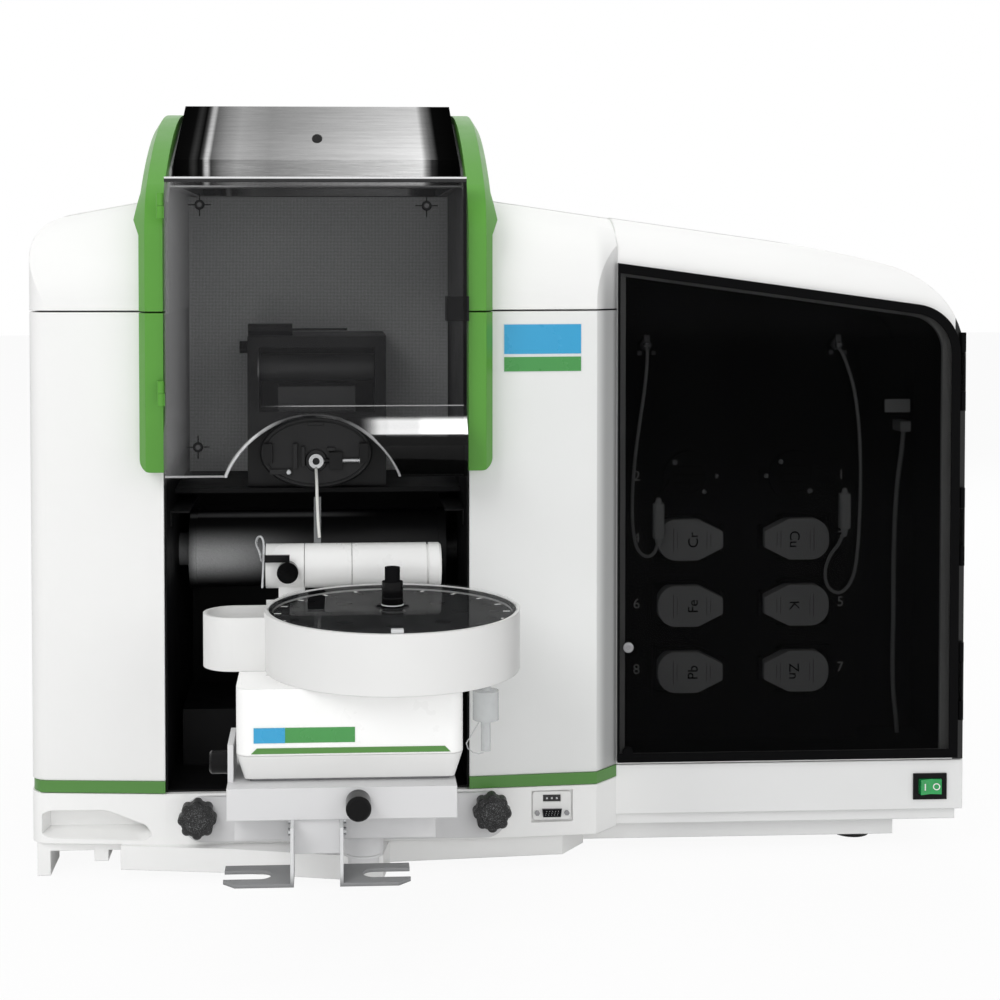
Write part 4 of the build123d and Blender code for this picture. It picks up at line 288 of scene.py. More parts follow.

# Each finish: colour, roughness, grain and its size, clouding and softened edge,
# then gloss and zones where it has its own, the zones mostly painted shade and painted light
MOULDINGS = {
    "casing_white": (WHITE, 0.33, 0.12, 1500, 0.05, 0.0016),
    "cover_white": (WHITE, 0.33, 0.12, 1500, 0.05, 0.0016, 0.5, COVER_DARK_AND_SHADE_ZONES),
    "body_white": (paint(250, 250, 249), 0.3, 0.15, 2200, 0.03, 0.002),
    "pan_white": (paint(228, 228, 227), 0.36, 0.2, 2600, 0.05, 0.0014, 0.5, PAN_SHADE_ZONES),
    "fork_grey": (paint(214, 215, 216), 0.45, 0.5, 1800, 0.08, 0.0008, 0.5, FORK_SHADE_ZONES),
    # Right panel: a darker copy of the casing white, painted shade
    "shaded_panel_white": (paint(232, 233, 232), 0.33, 0.12, 1500, 0.05, 0.0016, 0.5, (BEVEL_SHADE_ZONE,)),
    "base_white": (paint(249, 249, 248), 0.4, 0.3, 3000, 0.06, 0.0014, 0.5, BASE_SHADE_ZONES),
    "tub_white": (paint(228, 228, 227), 0.36, 0.25, 3000, 0.06, 0.0014),
    "turret_white": (paint(251, 251, 250), 0.3, 0.15, 2200, 0.03, 0.001),
    "mount_white": (paint(216, 216, 217), 0.45, 0.5, 1800, 0.08, 0.001),
    "leaf_green": (LEAF, 0.32, 0.2, 2200, 0.07, 0.0008, 0.3, CHEEK_SHADE_ZONES),
    "stripe_green": (paint(82, 136, 62), 0.32, 0.2, 2200, 0.06, 0.0004),
    "sheet_black": (paint(17, 17, 18), 0.5, 0.1, 1400, 0.5, 0.001, 0.15, BAY_LIGHT_ZONES),
    "fine_black": (paint(14, 14, 15), 0.42, 0.5, 2600, 0.5, 0.0008, 0.15),
    "board_black": (paint(8, 8, 9), 0.5, 0.1, 2600, 0.5, 0.0008, 0.05),
    "furnace_black": (paint(20, 20, 21), 0.42, 0.1, 1400, 0.4, 0.001, 0.3, FURNACE_HIGHLIGHT_ZONES),
    "contact_black": (paint(30, 30, 31), 0.34, 0.5, 1800, 0.5, 0.0012, 0.3),
    "gloss_black": (paint(9, 9, 10), 0.14, 0.06, 1800, 0.4, 0.001, 0.16),
    "tray_black": (paint(24, 24, 25), 0.22, 0.05, 1800, 0.4, 0.0006, 0),
    "foot_rubber": (paint(34, 34, 34), 0.75, 0.8, 1200, 0.4, 0.001),
    "capillary_white": (paint(232, 232, 228), 0.35, 0.1, 3000, 0.04, 0),
    "lead_grey": (paint(196, 198, 198), 0.5, 0.3, 3000, 0.1, 0),
    "plug_grey": (paint(214, 216, 216), 0.42, 0.3, 2600, 0.1, 0.0006),
    "lamp_grey": (paint(214, 215, 216), 0.45, 0.3, 2600, 0.1, 0.0006),
    "ink_dark": (paint(16, 16, 18), 0.5, 0.1, 2600, 0.2, 0, 0.1),
    "screw_dark": (paint(58, 58, 59), 0.3, 0.1, 2600, 0.3, 0, 0.3),
    "ink_white": (paint(238, 238, 236), 0.5, 0.1, 2600, 0.05, 0),
    "ink_grey": (paint(150, 151, 153), 0.5, 0.1, 2600, 0.05, 0),
    "plate_blue": (paint(52, 160, 208), 0.28, 0.05, 2600, 0.05, 0),
    "plate_green": (paint(70, 148, 76), 0.28, 0.05, 2600, 0.05, 0),
    "core_grey": (paint(66, 66, 67), 0.4, 0.1, 1800, 0.3, 0.001, 0.4),
    "plate_pale": (paint(222, 224, 225), 0.3, 0.05, 2600, 0.05, 0),
}
for name, values in MOULDINGS.items():
    moulding(name, *values)


# Painted reflection across the chimney's front, from its left bend to its right one: bright lines, a broad
# highlight and dark bands at the bends
CHIMNEY_PAINTED_REFLECTION = (
    (0, 8), (0.05, 12), (0.068, 56), (0.086, 12), (0.1, 30), (0.11, 208), (0.118, 214),
    (0.128, 60), (0.17, 140), (0.22, 176), (0.33, 152), (0.47, 178), (0.64, 212),
    (0.78, 236), (0.872, 250), (0.888, 150), (0.905, 56), (0.93, 10), (1, 4),
)
CHIMNEY_LEFT, CHIMNEY_WIDE = -0.334, 0.288


def brushed_steel():
    """Sheet brushed from side to side, with a painted reflection across its front that is dark where it
    bends back at its sides and darkens towards its top.
    """
    own = Finish("brushed_steel")
    lines = own.noise(1500, 3, 0.6, own.stretched((0.03, 1, 1)))
    broad = own.noise(160, 2, 0.5, own.stretched((0.06, 1, 1)))
    side = own.axis("X", own.node("ShaderNodeTexCoord", take="Normal")).math("ABSOLUTE").ramp(0.6, 0.9)
    across = own.axis("X")
    bent = across.ramp(-0.309, -0.303, 1, 0) + across.ramp(-0.074, -0.066)
    tone = own.steps((across - CHIMNEY_LEFT) / CHIMNEY_WIDE, CHIMNEY_PAINTED_REFLECTION)
    tone = own.mix(side, tone, paint(70, 71, 72))
    black = paint(4, 4, 4)
    tone = own.mix(own.axis("Z").ramp(0.70, 0.783, 0, 0.34), tone, black)
    tone = own.cloud(broad, 0.12, tone, black)
    tone = own.mix(lines.ramp(0.4, 0.65, 0, 0.12), tone, black)
    rough = lines.ramp(0.3, 0.7, 0.26, 0.4)
    normal = own.relief(lines, 0.2, 0.00004, 0.001)
    return own.surface(
        Base_Color=tone, Roughness=rough, Metallic=1 - bent, Normal=normal,
        Specular_IOR_Level=0,
    )


def machined(name, colour, rough):
    """Turned or milled metal with faint tool lines."""
    own = Finish(name)
    lines = own.noise(2400, 2, 0.5, own.stretched((1, 0.08, 1)))
    spots = own.noise(90, 3)
    base = own.cloud(spots, 0.3, colour, shade(colour, 0.55))
    normal = own.relief(lines, 0.2, 0.00005, 0.0005)
    sheen = spots.ramp(0.3, 0.7, rough - 0.05, rough + 0.08)
    return own.surface(Base_Color=base, Roughness=sheen, Metallic=1, Normal=normal)


def masked_metal(name, mask_of, metal, dark):
    """Metal where the mask says so, and dark moulding or paint elsewhere."""
    own = Finish(name)
    spots = own.noise(90, 3)
    mask = mask_of(own)
    black = own.cloud(spots, 0.4, dark, shade(dark, 0.5))
    bright = own.cloud(spots, 0.3, metal, shade(metal, 0.6))
    base = own.mix(mask, black, bright)
    rough = mask.ramp(0, 1, 0.42, 0.24)
    normal = own.relief(own.noise(2400, 2), 0.15, 0.00005, 0.0006)
    return own.surface(
        Base_Color=base, Roughness=rough, Metallic=mask, Normal=normal, Specular_IOR_Level=0.25,
    )


def green_knuckles(name, dark, lined):
    """Dark window fitting: hinge knuckles green as the cheek, and at its top maybe a bright line."""
    own = Finish(name)
    spots = own.noise(90, 3)
    line = own.axis("Z").ramp(0.6940, 0.6944) * lined
    knuckle = own.axis("X") < -0.3362
    base = own.cloud(spots, 0.4, dark, shade(dark, 0.5))
    base = own.mix(line, base, paint(232, 233, 234))
    base = own.mix(knuckle, base, LEAF)
    rough = line.ramp(0, 1, 0.4, 0.22)
    normal = own.relief(own.noise(2400, 2), 0.15, 0.00005, 0.0006)
    return own.surface(
        Base_Color=base, Roughness=rough, Metallic=line * 0.9, Normal=normal,
        Specular_IOR_Level=0.25,
    )


def cone_and_pin(own):
    """The contact's cone and the free end of its pin."""
    across, height = own.axis("X"), own.axis("Z") - 0.410
    from_cone = (across + 0.1915).math("POWER", 2) + height.math("POWER", 2)
    pin = (across > -0.1645) * (across < -0.1468) * (height.math("ABSOLUTE") < 0.0028)
    return ((from_cone < 0.0082 ** 2) + pin).math("MINIMUM", 1)


def drum_satin():
    """Dark drum with a fine sand texture, a painted highlight as a broad soft band at its left end, and a
    thin painted highlight along its top.
    """
    own = Finish("drum_satin")
    across, height = own.axis("X"), own.axis("Z")
    sand = own.noise(1400, 3, 0.7)
    fade = across.ramp(-0.325, -0.19, 1, 0) * across.ramp(-0.3275, -0.318, 0.4, 1)
    # Painted highlight: a soft band across the drum's face, fading out to the right, and a pale line along
    # its top
    sheen = height.band(0.268, 0.298, 0.300, 0.334) * fade
    painted_crest_line = height.band(0.3395, 0.3415, 0.3425, 0.3445) * across.ramp(-0.20, -0.12, 0.5, 0)
    tone = own.mix(sheen, paint(14, 14, 15), paint(205, 206, 207))
    tone = own.mix(painted_crest_line, tone, paint(150, 151, 152))
    tone = own.cloud(sand, 0.35, tone, paint(26, 26, 27))
    normal = own.relief(sand, 0.5, 0.0002, 0.001)
    rough = sand.ramp(0.3, 0.7, 0.36, 0.46)
    return own.surface(Base_Color=tone, Roughness=rough, Normal=normal, Specular_IOR_Level=0.3)


def smoked_pane():
    """Smoked clear sheet: see-through, with a painted reflection along its nose that also glows, painted
    shade on the lip under it, a thin painted highlight at its upper bend and painted light on its left
    part.
    """
    own = Finish("smoked_pane")
    height, across = own.axis("Z"), own.axis("X")
    streaks = own.noise(14, 3, 0.5, own.stretched((1, 1, 0.25)))
    dust = own.noise(500, 2)
    dim = across.band(-0.132, -0.122, -0.094, -0.084)
    # Painted reflection along the nose, dimmed over one stretch; it also glows, below
    band = height.band(0.4465, 0.4485, 0.459, 0.4645) * across.ramp(-0.15, -0.118)
    band = band * (1 - dim * 0.25)
    # Painted shade on the lip under the nose
    lip_painted_shade = height.ramp(0.4445, 0.4465, 1, 0) * across.ramp(-0.15, -0.13)
    edge = across.ramp(-0.0478, -0.0466)
    # Thin painted highlight along the upper bend
    line = height.band(0.4733, 0.4737, 0.4743, 0.4747) * across.ramp(-0.25, -0.2)
    tint = own.mix(streaks.ramp(0.3, 0.7), paint(34, 34, 35), paint(48, 48, 49))
    # Painted light on the left part, where the lit left wall shows through
    tint = own.mix(across.ramp(-0.335, -0.306, 0.95, 0), tint, paint(132, 132, 133))
    tint = own.mix(line * 0.8, tint, paint(190, 190, 191))
    tint = own.mix(lip_painted_shade, tint, paint(6, 6, 6))
    tint = own.mix(edge, tint, paint(10, 10, 10))
    tint = own.mix(band, tint, paint(250, 250, 250))
    cover = dust.ramp(0.3, 0.7, 0.262, 0.288) + band * 0.66 + lip_painted_shade * 0.66 + edge * 0.6 + line * 0.3
    # Painted glow: the nose's painted reflection also shines, though the sheet is no lamp
    glow = own.mix(band, paint(0, 0, 0), paint(150, 150, 150))
    normal = own.relief(streaks, 0.02, 0.0005)
    return own.surface(
        Base_Color=tint, Roughness=0.08, Alpha=cover, Normal=normal, Specular_IOR_Level=0.14,
        Emission_Color=glow, Emission_Strength=1,
    )


def polished_edge():
    """Cut edge of the smoked sheet, its tone a painted highlight: pale at its left, dark over the arch,
    and softly pale at its right.
    """
    own = Finish("polished_edge")
    across = own.axis("X")
    glints = own.noise(60, 2)
    left = across.ramp(-0.262, -0.215, 1, 0)
    right = across.ramp(-0.17, -0.12, 0, 0.55)
    tone = own.mix((left + right).math("MINIMUM", 1), paint(26, 26, 27), paint(214, 215, 216))
    tone = own.mix(glints.ramp(0.4, 0.7, 0, 0.3), tone, paint(90, 91, 92))
    rough = glints.ramp(0.3, 0.7, 0.08, 0.16)
    return own.surface(Base_Color=tone, Roughness=rough)


DOOR_DEEP, DOOR_PALE = (0.0006, 0.0006, 0.0007, 1), (0.0012, 0.0012, 0.0013, 1)


def door_tint():
    """Very dark clear sheet."""
    own = Finish("door_tint")
    streaks = own.noise(9, 3, 0.5, own.stretched((1, 1, 0.3)))
    tint = own.mix(streaks.ramp(0.3, 0.7), DOOR_DEEP, DOOR_PALE)
    cover = streaks.ramp(0.3, 0.7, 0.53, 0.56)
    rough = streaks.ramp(0.3, 0.7, 0.03, 0.06)
    return own.surface(Base_Color=tint, Roughness=rough, Alpha=cover, Specular_IOR_Level=0.04)


def clear_plastic(name, colour, cover, rough):
    """Clear or cloudy moulding."""
    own = Finish(name)
    clouds = own.noise(60, 3)
    base = own.cloud(clouds, 0.3, colour, shade(colour, 0.8), 0.3)
    amount = clouds.ramp(0.3, 0.7, cover - 0.04, cover + 0.05)
    normal = own.relief(clouds, 0.05, 0.0004)
    return own.surface(Base_Color=base, Roughness=rough, Alpha=amount, Normal=normal)


def clear_lid():
    """Clear lid: almost nothing seen from above, a mirror at a glancing look."""
    own = Finish("lid_clear")
    clouds = own.noise(40, 2)
    cover = clouds.ramp(0.3, 0.7, 0.012, 0.026)
    body = own.shader(Base_Color=paint(206, 209, 210), Roughness=0.1, Alpha=cover)
    mirror = own.node("ShaderNodeBsdfGlossy", None, {"Color": (0.95, 0.95, 0.95, 1), "Roughness": 0.03})
    glance = own.node("ShaderNodeFresnel", None, {"IOR": 1.49})
    return own.end(own.node("ShaderNodeMixShader", None, {0: glance * 0.045, 1: body, 2: mirror}))


def grip_black():
    """Star knob moulding with bright flecks in a coarse grain."""
    own = Finish("grip_black")
    cells = own.node("ShaderNodeTexVoronoi", None, {"Vector": own.place, "Scale": 1100}, "Distance")
    fleck = own.noise(1500, 2) > 0.66
    base = own.mix(fleck, paint(26, 26, 27), paint(150, 150, 152))
    normal = own.relief(cells, 0.9, 0.0005, 0.0008)
    rough = fleck.ramp(0, 1, 0.42, 0.2)
    return own.surface(Base_Color=base, Roughness=rough, Normal=normal)


def screen_mesh():
    """Perforated sheet behind the furnace, grey with fine dark holes."""
    own = Finish("screen_mesh")
    pitch = 0.0032
    tile = tau / pitch
    wave_x = (own.axis("X") * tile).math("SINE")
    wave_z = (own.axis("Z") * tile).math("SINE")
    holes = (wave_x * wave_z).math("ABSOLUTE").ramp(0.3, 0.5, 0, 1)
    clouds = own.noise(5, 2)
    sheet = own.mix(clouds, paint(240, 241, 242), paint(250, 250, 251))
    base = own.mix(holes, sheet, paint(176, 177, 178))
    normal = own.relief(1 - holes, 0.5, 0.0006)
    rough = holes.ramp(0, 1, 0.45, 0.8)
    return own.surface(Base_Color=base, Roughness=rough, Normal=normal)


def lit_rocker():
    """Green see-through rocker with a lamp behind it."""
    own = Finish("lit_rocker")
    clouds = own.noise(90, 2)
    base = own.mix(clouds, paint(14, 130, 62), paint(34, 160, 82))
    rough = clouds.ramp(0.3, 0.7, 0.14, 0.22)
    glow = own.mix(clouds, paint(6, 70, 32), paint(14, 92, 46))
    return own.surface(
        Base_Color=base, Roughness=rough, Emission_Color=glow, Emission_Strength=0.5,
        Coat_Weight=0.5,
    )


def grip_sparkle():
    """Raised centre of a star knob, with dense bright flecks."""
    own = Finish("grip_sparkle")
    fleck = own.noise(1300, 2) > 0.6
    base = own.mix(fleck, paint(18, 18, 19), paint(112, 113, 114))
    normal = own.relief(own.noise(1300, 2), 0.8, 0.0004, 0.0004)
    return own.surface(Base_Color=base, Roughness=0.4, Normal=normal)


BRIGHT_STEEL, DULL_STEEL = (0.62, 0.63, 0.64, 1), (0.34, 0.34, 0.35, 1)
brushed_steel()
machined("bright_metal", BRIGHT_STEEL, 0.24)
machined("dull_metal", DULL_STEEL, 0.36)
green_knuckles("rail_finish", paint(44, 44, 45), 1)
green_knuckles("fitting_finish", paint(14, 14, 15), 0)
masked_metal("contact_finish", cone_and_pin, paint(206, 207, 208), paint(20, 20, 21))
for build in (smoked_pane, polished_edge, drum_satin, door_tint, clear_lid):
    build()
clear_plastic("nozzle_clear", paint(216, 219, 220), 0.55, 0.18)
clear_plastic("arm_cloudy", paint(120, 122, 123), 0.8, 0.25)
clear_plastic("edge_clear", paint(222, 223, 224), 0.8, 0.08)
for build in (grip_black, grip_sparkle, screen_mesh, lit_rocker):
    build()

NODE_FINISH = {
    "casing_white": ("left_panel", "back_panel", "port_plate"),
    "cover_white": ("main_cover",),
    "shaded_panel_white": ("right_panel",),
    "base_white": ("base_tray",),
    "tub_white": ("tub",),
    "body_white": ("sampler_body",),
    "pan_white": ("sampler_pan",),
    "fork_grey": ("forks",),
    "turret_white": ("turret_body", "swing_drum"),
    "mount_white": ("mount_bracket", "deck"),
    "leaf_green": ("cheeks_upper", "cheeks_lower"),
    "stripe_green": ("trim_strips", "sampler_stripe"),
    "brushed_steel": ("chimney",),
    "rail_finish": ("window_rail",),
    "contact_finish": ("contact_fittings",),
    "bright_metal": ("fork_screws",),
    "dull_metal": ("sampler_slide",),
    "core_grey": ("furnace_core",),
    "sheet_black": ("bay_liner", "bay_fittings"),
    "furnace_black": ("furnace_housing",),
    "contact_black": ("contact_head",),
    "board_black": ("lamp_board", "lamp_liner", "door_trim", "door_hinges"),
    "drum_satin": ("magnet_drum",),
    "fitting_finish": ("window_fittings",),
    "fine_black": ("switch_bezel", "rear_fittings"),
    "tray_black": ("sample_tray",),
    "gloss_black": ("front_knob", "side_knob", "tube_clamp", "furnace_lever"),
    "grip_black": ("star_knob_left", "star_knob_right"),
    "foot_rubber": ("rubber_feet",),
    "screen_mesh": ("rear_screen",),
    "smoked_pane": ("window_pane",),
    "door_tint": ("door_pane",),
    "lid_clear": ("tray_lid",),
    "nozzle_clear": ("drain_nozzle",),
    "arm_cloudy": ("probe_arm",),
    "lamp_grey": ("lamps",),
    "plug_grey": ("lead_plugs",),
    "lit_rocker": ("power_rocker",),
    "capillary_white": ("wire_loop", "probe_tube"),
    "lead_grey": ("lamp_lead_1", "lamp_lead_2", "lamp_tail_1", "lamp_tail_2", "service_cable"),
}


def wear(piece, finish):
    """Gives a piece one finish, by its name."""
    piece.data.materials.clear()
    piece.data.materials.append(finishes[finish])


for finish, names in NODE_FINISH.items():
    for name in names:
        wear(nodes[name], finish)


def add_piece(name, data, finish, body="cabinet"):
    """New piece with its finish, riding on a body."""
    piece = bpy.data.objects.new(name, data)
    bpy.context.scene.collection.objects.link(piece)
    wear(piece, finish)
    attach(piece, body)
    return piece


def mesh_from(name, form):
    """Mesh from a bmesh, with its faces smooth below a small angle."""
    bmesh.ops.recalc_face_normals(form, faces=form.faces)
    data = bpy.data.meshes.new(name)
    form.to_mesh(data)
    form.free()
    data.polygons.foreach_set("use_smooth", [True] * len(data.polygons))
    data.set_sharp_from_angle(angle=radians(35))
    return data


# Cords
def cord(
    name, route, diameter, finish, body, replaced,
):
    """Smooth cord along its given points."""
    line = bpy.data.curves.new(name, "CURVE")
    line.dimensions = "3D"
    line.bevel_depth = diameter / 2
    line.bevel_resolution, line.resolution_u = 4, 12
    line.use_fill_caps = True
    spline = line.splines.new("NURBS")
    spline.points.add(len(route) - 1)
    for point, place in zip(spline.points, route):
        point.co = (*spot(*place), 1)
    spline.order_u = 3
    spline.use_endpoint_u = True
    piece = add_piece(name, line, finish, body)
    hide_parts(replaced)
    tuple(spot(*route[0]))


LEAD_WIDE = 0.0034
SERVICE_WIDE = 0.0048
WIRE_WIDE = 0.0024
PROBE_WIDE = 0.0032
LEAD_ONE_ROUTE = (
    (352, 76, 525), (352.5, 64, 523.5), (358, 58, 508), (366.5, 57, 480),
    (371.5, 57, 440), (373.2, 57, 396), (372.6, 57, 352), (370.5, 57, 310),
    (366, 57, 282), (353, 57, 266.5), (339, 57.5, 273), (335.5, 58, 291),
    (342, 58.5, 309), (354, 59, 322), (357, 59, 336),
)
LEAD_ONE_TAIL = (
    (357, 59, 372), (355.8, 59.4, 382), (348, 62, 391),
    (338, 65, 396.5), (331.5, 70, 398.5), (329.8, 77.6, 398),
)
LEAD_TWO_ROUTE = (
    (151, 76, 525), (151, 64, 523.5), (149.5, 58, 508), (147, 57, 482),
    (141.5, 57, 446), (136.5, 57, 408), (134, 57, 370), (134.5, 57, 338),
    (139, 57.5, 315), (150, 58, 306.5), (160, 59, 313), (162, 59, 327),
)
LEAD_TWO_TAIL = (
    (162, 59, 363.3), (163, 59.8, 371), (168, 63, 380),
    (174, 70, 384.3), (175.8, 77.6, 385.5),
)
SERVICE_ROUTE = (
    (434, 106, 432), (432.5, 106, 412), (428, 106.5, 380), (425.5, 107, 336),
    (424.5, 107, 288), (425, 107, 238), (424, 107, 190), (425, 107, 150),
    (428.5, 106, 122), (429, 106, 108),
)
WIRE_ROUTE = (
    (-244.3, -19, 320.5), (-246.3, -19.2, 330), (-250, -19.6, 338),
    (-248.5, -20.5, 344.5), (-244.5, -21.5, 346), (-242, -22.8, 340.5),
    (-242.2, -24.2, 329), (-242.6, -25.5, 312), (-243.5, -28.5, 296),
)
PROBE_ROUTE = (
    (-188, 10.7, 338.7), (-189.2, 14.5, 351.1), (-189.8, 18.7, 365.5), (-190.4, 22.8, 378.9),
    (-190.6, 28, 390), (-191, 37.5, 397.5), (-191.5, 48.5, 402.2),
)
cord(
    "lead_one", LEAD_ONE_ROUTE, LEAD_WIDE, "lead_grey", "cabinet", "lamp_lead_1",
)
cord("lead_one_tail", LEAD_ONE_TAIL, LEAD_WIDE, "fine_black", "cabinet", "lamp_tail_1")
cord("lead_two", LEAD_TWO_ROUTE, LEAD_WIDE, "lead_grey", "cabinet", "lamp_lead_2")
cord("lead_two_tail", LEAD_TWO_TAIL, LEAD_WIDE, "fine_black", "cabinet", "lamp_tail_2")
cord("service_line", SERVICE_ROUTE, SERVICE_WIDE, "lead_grey", "cabinet", "service_cable")
cord(
    "wire_bow", WIRE_ROUTE, WIRE_WIDE, "bright_metal", "sampler", "wire_loop",
)
cord(
    "probe_capillary", PROBE_ROUTE, PROBE_WIDE, "capillary_white", "probe_swing", "probe_tube",
)


# Shapes for plates, marks and small parts
def turns(count):
    """Evenly spaced angles round a full turn."""
    return [tau * step / count for step in range(count)]


def shell(name, hulls, finish, body="cabinet", ends="capped"):
    """Piece of hulls, each a run of rings of points whose ends are capped, open or joined."""
    form = bmesh.new()
    for rings in hulls:
        rows = [[form.verts.new(point) for point in ring] for ring in rings]
        if ends == "capped":
            form.faces.new(rows[0][::-1])
            form.faces.new(rows[-1])
        if ends == "joined":
            rows.append(rows[0])
        for before, row in zip(rows, rows[1:]):
            for place in range(len(row)):
                after = (place + 1) % len(row)
                form.faces.new((before[place], before[after], row[after], row[place]))
    return add_piece(name, mesh_from(name, form), finish, body)


def flat_marks(name, outlines, finish, body="cabinet"):
    """Piece of flat faces, one in each outline of points."""
    form = bmesh.new()
    for outline in outlines:
        form.faces.new([form.verts.new(point) for point in outline])
    return add_piece(name, mesh_from(name, form), finish, body)


def blocks(name, boxes, finish, body="cabinet", soften=0):
    """Piece of boxes, each between two corners in millimetres, with softened edges if asked."""
    form = bmesh.new()
    for low, high in boxes:
        start, end = spot(*low), spot(*high)
        for vertex in bmesh.ops.create_cube(form, size=1)["verts"]:
            for axis in range(3):
                middle = (start[axis] + end[axis]) / 2
                vertex.co[axis] = middle + vertex.co[axis] * abs(end[axis] - start[axis])
    if soften:
        edges = form.edges[:]
        bmesh.ops.bevel(form, geom=edges, offset=soften * MM, segments=2, affect="EDGES", profile=0.5)
    return add_piece(name, mesh_from(name, form), finish, body)


def turned(
    name, places, rings, finish, body="cabinet", upright=False, sides=20, ripple=0, ripples=10,
):
    """Turned piece from its rings' radii and reaches, once at each place, facing forwards or up."""
    hulls = []
    for place in places:
        hull = []
        for radius, reach in rings:
            ring = []
            for angle in turns(sides):
                wide = radius + ripple * cos(ripples * angle)
                across, along = wide * cos(angle), wide * sin(angle)
                offset = (across, along, reach) if upright else (across, -reach, along)
                ring.append(spot(*place) + Vector(offset) * MM)
            hull.append(ring)
        hulls.append(hull)
    return shell(name, hulls, finish, body)


def bead(name, line, radius, finish, body="cabinet", sides=8):
    """Round bead along a line of points, closed at both ends."""
    rings = []
    for place, point in enumerate(line):
        along = (line[min(place + 1, len(line) - 1)] - line[max(place - 1, 0)]).normalized()
        first = along.cross(Vector((0, 1, 0))).normalized()
        second = along.cross(first)
        ring = []
        for angle in turns(sides):
            ring.append(point + (first * cos(angle) + second * sin(angle)) * radius * MM)
        rings.append(ring)
    return shell(name, (rings,), finish, body)


def lettering(name, words, size, place, finish, turn_by=0, thick=0.25):
    """Upright flat lettering facing forwards, as a mesh."""
    text = bpy.data.curves.new(name, "FONT")
    text.body = words
    text.size = size * MM
    text.align_x = text.align_y = "CENTER"
    text.extrude = thick * MM / 2
    carrier = bpy.data.objects.new(name + "_source", text)
    bpy.context.scene.collection.objects.link(carrier)
    bpy.context.view_layer.update()
    shape = carrier.evaluated_get(bpy.context.evaluated_depsgraph_get())
    data = bpy.data.meshes.new_from_object(shape)
    bpy.data.objects.remove(carrier)
    data.name = name
    stand = Matrix.Rotation(radians(90), 4, "X") @ Matrix.Rotation(turn_by, 4, "Z")
    data.transform(Matrix.Translation(spot(*place)) @ stand)
    return add_piece(name, data, finish)


# Bare plates on the slanting right front panel and on the sampler
PANEL_LEFT, PANEL_NEAR = -38.5, 4
PANEL_SLOPE = 10 / 129.5
PLATE_SINK = 0.2
FRONT_PLATES = (
    ("front_plate_frame", (-4.5, 75.5), (503, 552), 0.5, "plate_pale"),
    ("front_plate_upper", (-3.5, 74.5), (521.5, 551), 0.8, "plate_blue"),
    ("front_plate_lower", (-3.5, 74.5), (504, 518.5), 0.8, "plate_green"),
)
for name, (x_from, x_to), (z_from, z_to), lift, finish in FRONT_PLATES:
    corners = []
    for x, z in ((x_from, z_from), (x_to, z_from), (x_to, z_to), (x_from, z_to)):
        corners.append((x, PANEL_NEAR + (x - PANEL_LEFT) * PANEL_SLOPE, z))
    rings = [[spot(x, depth - proud, z) for x, depth, z in corners] for proud in (lift, -PLATE_SINK)]
    shell(name, (rings,), finish)

SAMPLER_PLATES = (
    ("sampler_plate", (-243.8, -215.5, 195.5), (-155.6, -214.9, 208.8), "plate_green"),
    ("sampler_plate_end", (-243.8, -215.8, 195.5), (-216.5, -215.4, 208.8), "plate_blue"),
)
for name, low, high, finish in SAMPLER_PLATES:
    blocks(name, ((low, high),), finish, "sampler")

# Marks and rings at the window screws
BAY_X = -190
WINDOW_SCREWS = ((-112, 669, -35), (107, 668, -35), (-113, 437, -54))
SCREW_RIM = ((4.9, -1.2), (4.9, 0.2), (4.3, 0.7), (2.6, 0.7))
SCREW_FACE = ((2.4, 0), (2.4, 0.85), (1.6, 0.95))
cross_boxes = []
screw_places = []
for across, height, depth in WINDOW_SCREWS:
    x = BAY_X + across
    screw_places.append((x, depth - 1.4, height))
    for half_wide, half_tall in ((11, 0.5), (0.5, 11)):
        low = (x - half_wide, depth - 0.3, height - half_tall)
        cross_boxes.append((low, (x + half_wide, depth + 0.3, height + half_tall)))
blocks("window_screw_marks", cross_boxes, "fine_black", "window")
turned("window_screw_rims", screw_places, SCREW_RIM, "fine_black", "window")
turned("window_screw_faces", screw_places, SCREW_FACE, "screw_dark", "window")

# Polished cut edge round the window's arch and along its foot
PANE_START = (-35, 474)
PANE_NOSE = (-54, 437)
PANE_FOOT = (-44, 406)
PANE_HALF_WIDE = 145.5
ARCH_ENDS = (BAY_X - 87, BAY_X + 80)
ARCH_FOOT_Z, ARCH_TOP_Z = 409, 465
ARCH_STEPS = 48
ARCH_LINE_FOOT_Z, FOOT_LINE_Z = 407, 407.2
EDGE_SINK = 1.5


def bend_radius(deep, tall):
    """Radius of a bend that starts upright and goes back by deep over its height."""
    return (deep * deep + tall * tall) / (2 * deep)


def pane_depth(z):
    """Depth of the window's front at a height."""
    half_deep = (PANE_START[0] - PANE_NOSE[0]) / 2
    half_tall = (PANE_START[1] - PANE_NOSE[1]) / 2
    if z >= PANE_START[1]:
        return PANE_START[0]
    if z > PANE_NOSE[1] + half_tall:
        radius = bend_radius(half_deep, half_tall)
        return PANE_START[0] - radius + sqrt(radius * radius - (PANE_START[1] - z) ** 2)
    if z >= PANE_NOSE[1]:
        radius = bend_radius(half_deep, half_tall)
    else:
        radius = bend_radius(PANE_FOOT[0] - PANE_NOSE[0], PANE_NOSE[1] - PANE_FOOT[1])
    return PANE_NOSE[0] + radius - sqrt(radius * radius - (z - PANE_NOSE[1]) ** 2)


def circle_through(first, second, third):
    """Centre and radius of the circle through three points of a plane."""
    (ax, az), (bx, bz), (cx, cz) = first, second, third
    twice = 2 * (ax * (bz - cz) + bx * (cz - az) + cx * (az - bz))
    a_square, b_square, c_square = ax * ax + az * az, bx * bx + bz * bz, cx * cx + cz * cz
    x = (a_square * (bz - cz) + b_square * (cz - az) + c_square * (az - bz)) / twice
    z = (a_square * (cx - bx) + b_square * (ax - cx) + c_square * (bx - ax)) / twice
    return x, z, hypot(ax - x, az - z)


def edge_spot(x, z):
    """Point of the cut edge, in the middle of the sheet."""
    return spot(x, pane_depth(z) + EDGE_SINK, z)


